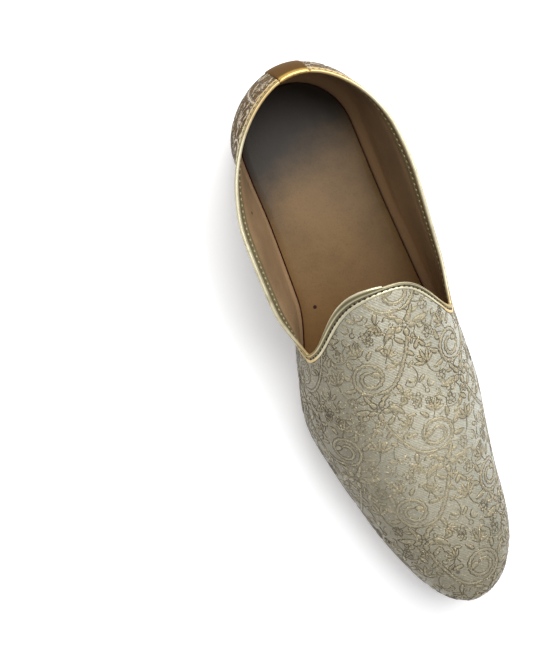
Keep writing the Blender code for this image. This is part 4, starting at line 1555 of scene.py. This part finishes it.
class MOJARI_OT_sole(bpy.types.Operator):
    """The outsole and the heel block, with their edges broken"""

    bl_idname = "mojari.sole"
    bl_label = "Sole and heel"

    def execute(self, context):
        inside = context.scene.mojari_inside
        material = plain_leather("sole_leather", inside.sole, 0.55)
        stations = end_spaced(0, LENGTH, 120)
        layer_mesh("sole", stations, SOLE_INSET, SOLE_EDGE, sole_height, [material], "sole_rubber", "outsole")
        material = plain_leather("heel_leather", inside.heel, 0.5)
        stations = HEEL_BREAST * (1 - np.cos(np.pi / 2 * np.arange(41) / 40))
        inset = SOLE_INSET + SOLE_SLANT + HEEL_INSET
        layer_mesh(
            "heel_block", stations, inset, HEEL_EDGE, heel_height, [material], "heel_rubber", "heel",
            HEEL_BREAST,
        )
        return {"FINISHED"}


class MOJARI_OT_studio(bpy.types.Operator):
    """The floor, the soft lights and the camera"""

    bl_idname = "mojari.studio"
    bl_label = "Studio"

    def execute(self, context):
        studio = context.scene.mojari_studio
        wipe_selection()
        bpy.ops.mesh.primitive_plane_add(size=6, location=(0, 0, -0.0004))
        floor = context.object
        floor.name = "floor"
        material, shader, place = make_material(
            "floor", roughness=0.7, emission_color=(1, 1, 1), emission_strength=0.25
        )
        grey = (studio.floor,) * 3
        link(blend(noise(place, 3, 2), grey, scaled(grey, 0.97)), shader["Base Color"])
        floor.data.materials.append(material)
        self.camera(context, studio)
        world = bpy.data.worlds.new("studio")
        world.use_nodes = True
        ramp = world.node_tree.nodes.new("ShaderNodeValToRGB")
        link(axis_of(node("TexCoord", {}, "Generated", world.node_tree), "Z"), ramp.inputs[0])
        for element, (height, grey) in zip(ramp.color_ramp.elements, SKY):
            element.position = height
            element.color = (*grey, 1)
        background = world.node_tree.nodes["Background"].inputs
        link(ramp.outputs[0], background["Color"])
        link(SKY_STRENGTH, background["Strength"])
        context.scene.world = world
        for place, size, power in LIGHTS:
            wipe_selection()
            bpy.ops.object.light_add(type="AREA", location=place)
            light = context.object
            light.data.size = size
            light.data.energy = power
            light.rotation_mode = "QUATERNION"
            light.rotation_quaternion = (Vector(AIM) - Vector(place)).to_track_quat("-Z", "Y")
        context.scene.view_settings.view_transform = "Standard"
        context.scene.view_settings.look = "None"
        return {"FINISHED"}

    def camera(self, context, studio):
        """The camera at the photograph's angle to the shoe."""
        az, el, roll = studio.azimuth, studio.elevation, studio.roll
        back = Vector((math.sin(az) * math.cos(el), -math.cos(az) * math.cos(el), math.sin(el)))
        right = Vector((math.cos(az), math.sin(az), 0))
        up = back.cross(right)
        x_axis = right * math.cos(roll) + up * math.sin(roll)
        y_axis = up * math.cos(roll) - right * math.sin(roll)
        place = Vector(AIM) - x_axis * studio.shift_right - y_axis * studio.shift_up + back * studio.distance
        data = bpy.data.cameras.new("camera")
        data.lens = studio.focal / PICTURE_HEIGHT * SENSOR_WIDTH
        data.clip_start = 0.01
        camera = bpy.data.objects.new("camera", data)
        context.scene.collection.objects.link(camera)
        camera.rotation_mode = "QUATERNION"
        turn = np.array([x_axis, y_axis, back]).T
        camera.rotation_quaternion = Matrix(turn.tolist()).to_quaternion()
        camera.location = place
        context.scene.camera = camera


OPERATORS = (
    MOJARI_OT_brocade,
    MOJARI_OT_vines,
    MOJARI_OT_lining,
    MOJARI_OT_binding,
    MOJARI_OT_strap,
    MOJARI_OT_stitches,
    MOJARI_OT_insole,
    MOJARI_OT_sole,
    MOJARI_OT_studio,
)


class MOJARI_PT_panel(bpy.types.Panel):
    """The shoe's pieces and sizes in the sidebar"""

    bl_idname = "MOJARI_PT_panel"
    bl_label = "Mojari shoe"
    bl_space_type = "VIEW_3D"
    bl_region_type = "UI"
    bl_category = "Mojari"

    def draw(self, context):
        for settings in SETTINGS:
            group = getattr(context.scene, settings)
            for name in group.__annotations__:
                self.layout.prop(group, name)
        for operator in OPERATORS:
            self.layout.operator(operator.bl_idname)


SETTINGS = {
    "mojari_cloth": MojariCloth,
    "mojari_trim": MojariTrim,
    "mojari_inside": MojariInside,
    "mojari_studio": MojariStudio,
}
CLASSES = (*SETTINGS.values(), *OPERATORS, MOJARI_PT_panel)


def register():
    for kind in CLASSES:
        bpy.utils.register_class(kind)
    for name, kind in SETTINGS.items():
        setattr(bpy.types.Scene, name, PointerProperty(type=kind))


def unregister():
    for name in SETTINGS:
        delattr(bpy.types.Scene, name)
    for kind in reversed(CLASSES):
        bpy.utils.unregister_class(kind)


def main():
    register()
    for operator in OPERATORS:
        group, name = operator.bl_idname.split(".")
        getattr(getattr(bpy.ops, group), name)()


if __name__ == "__main__":
    main()
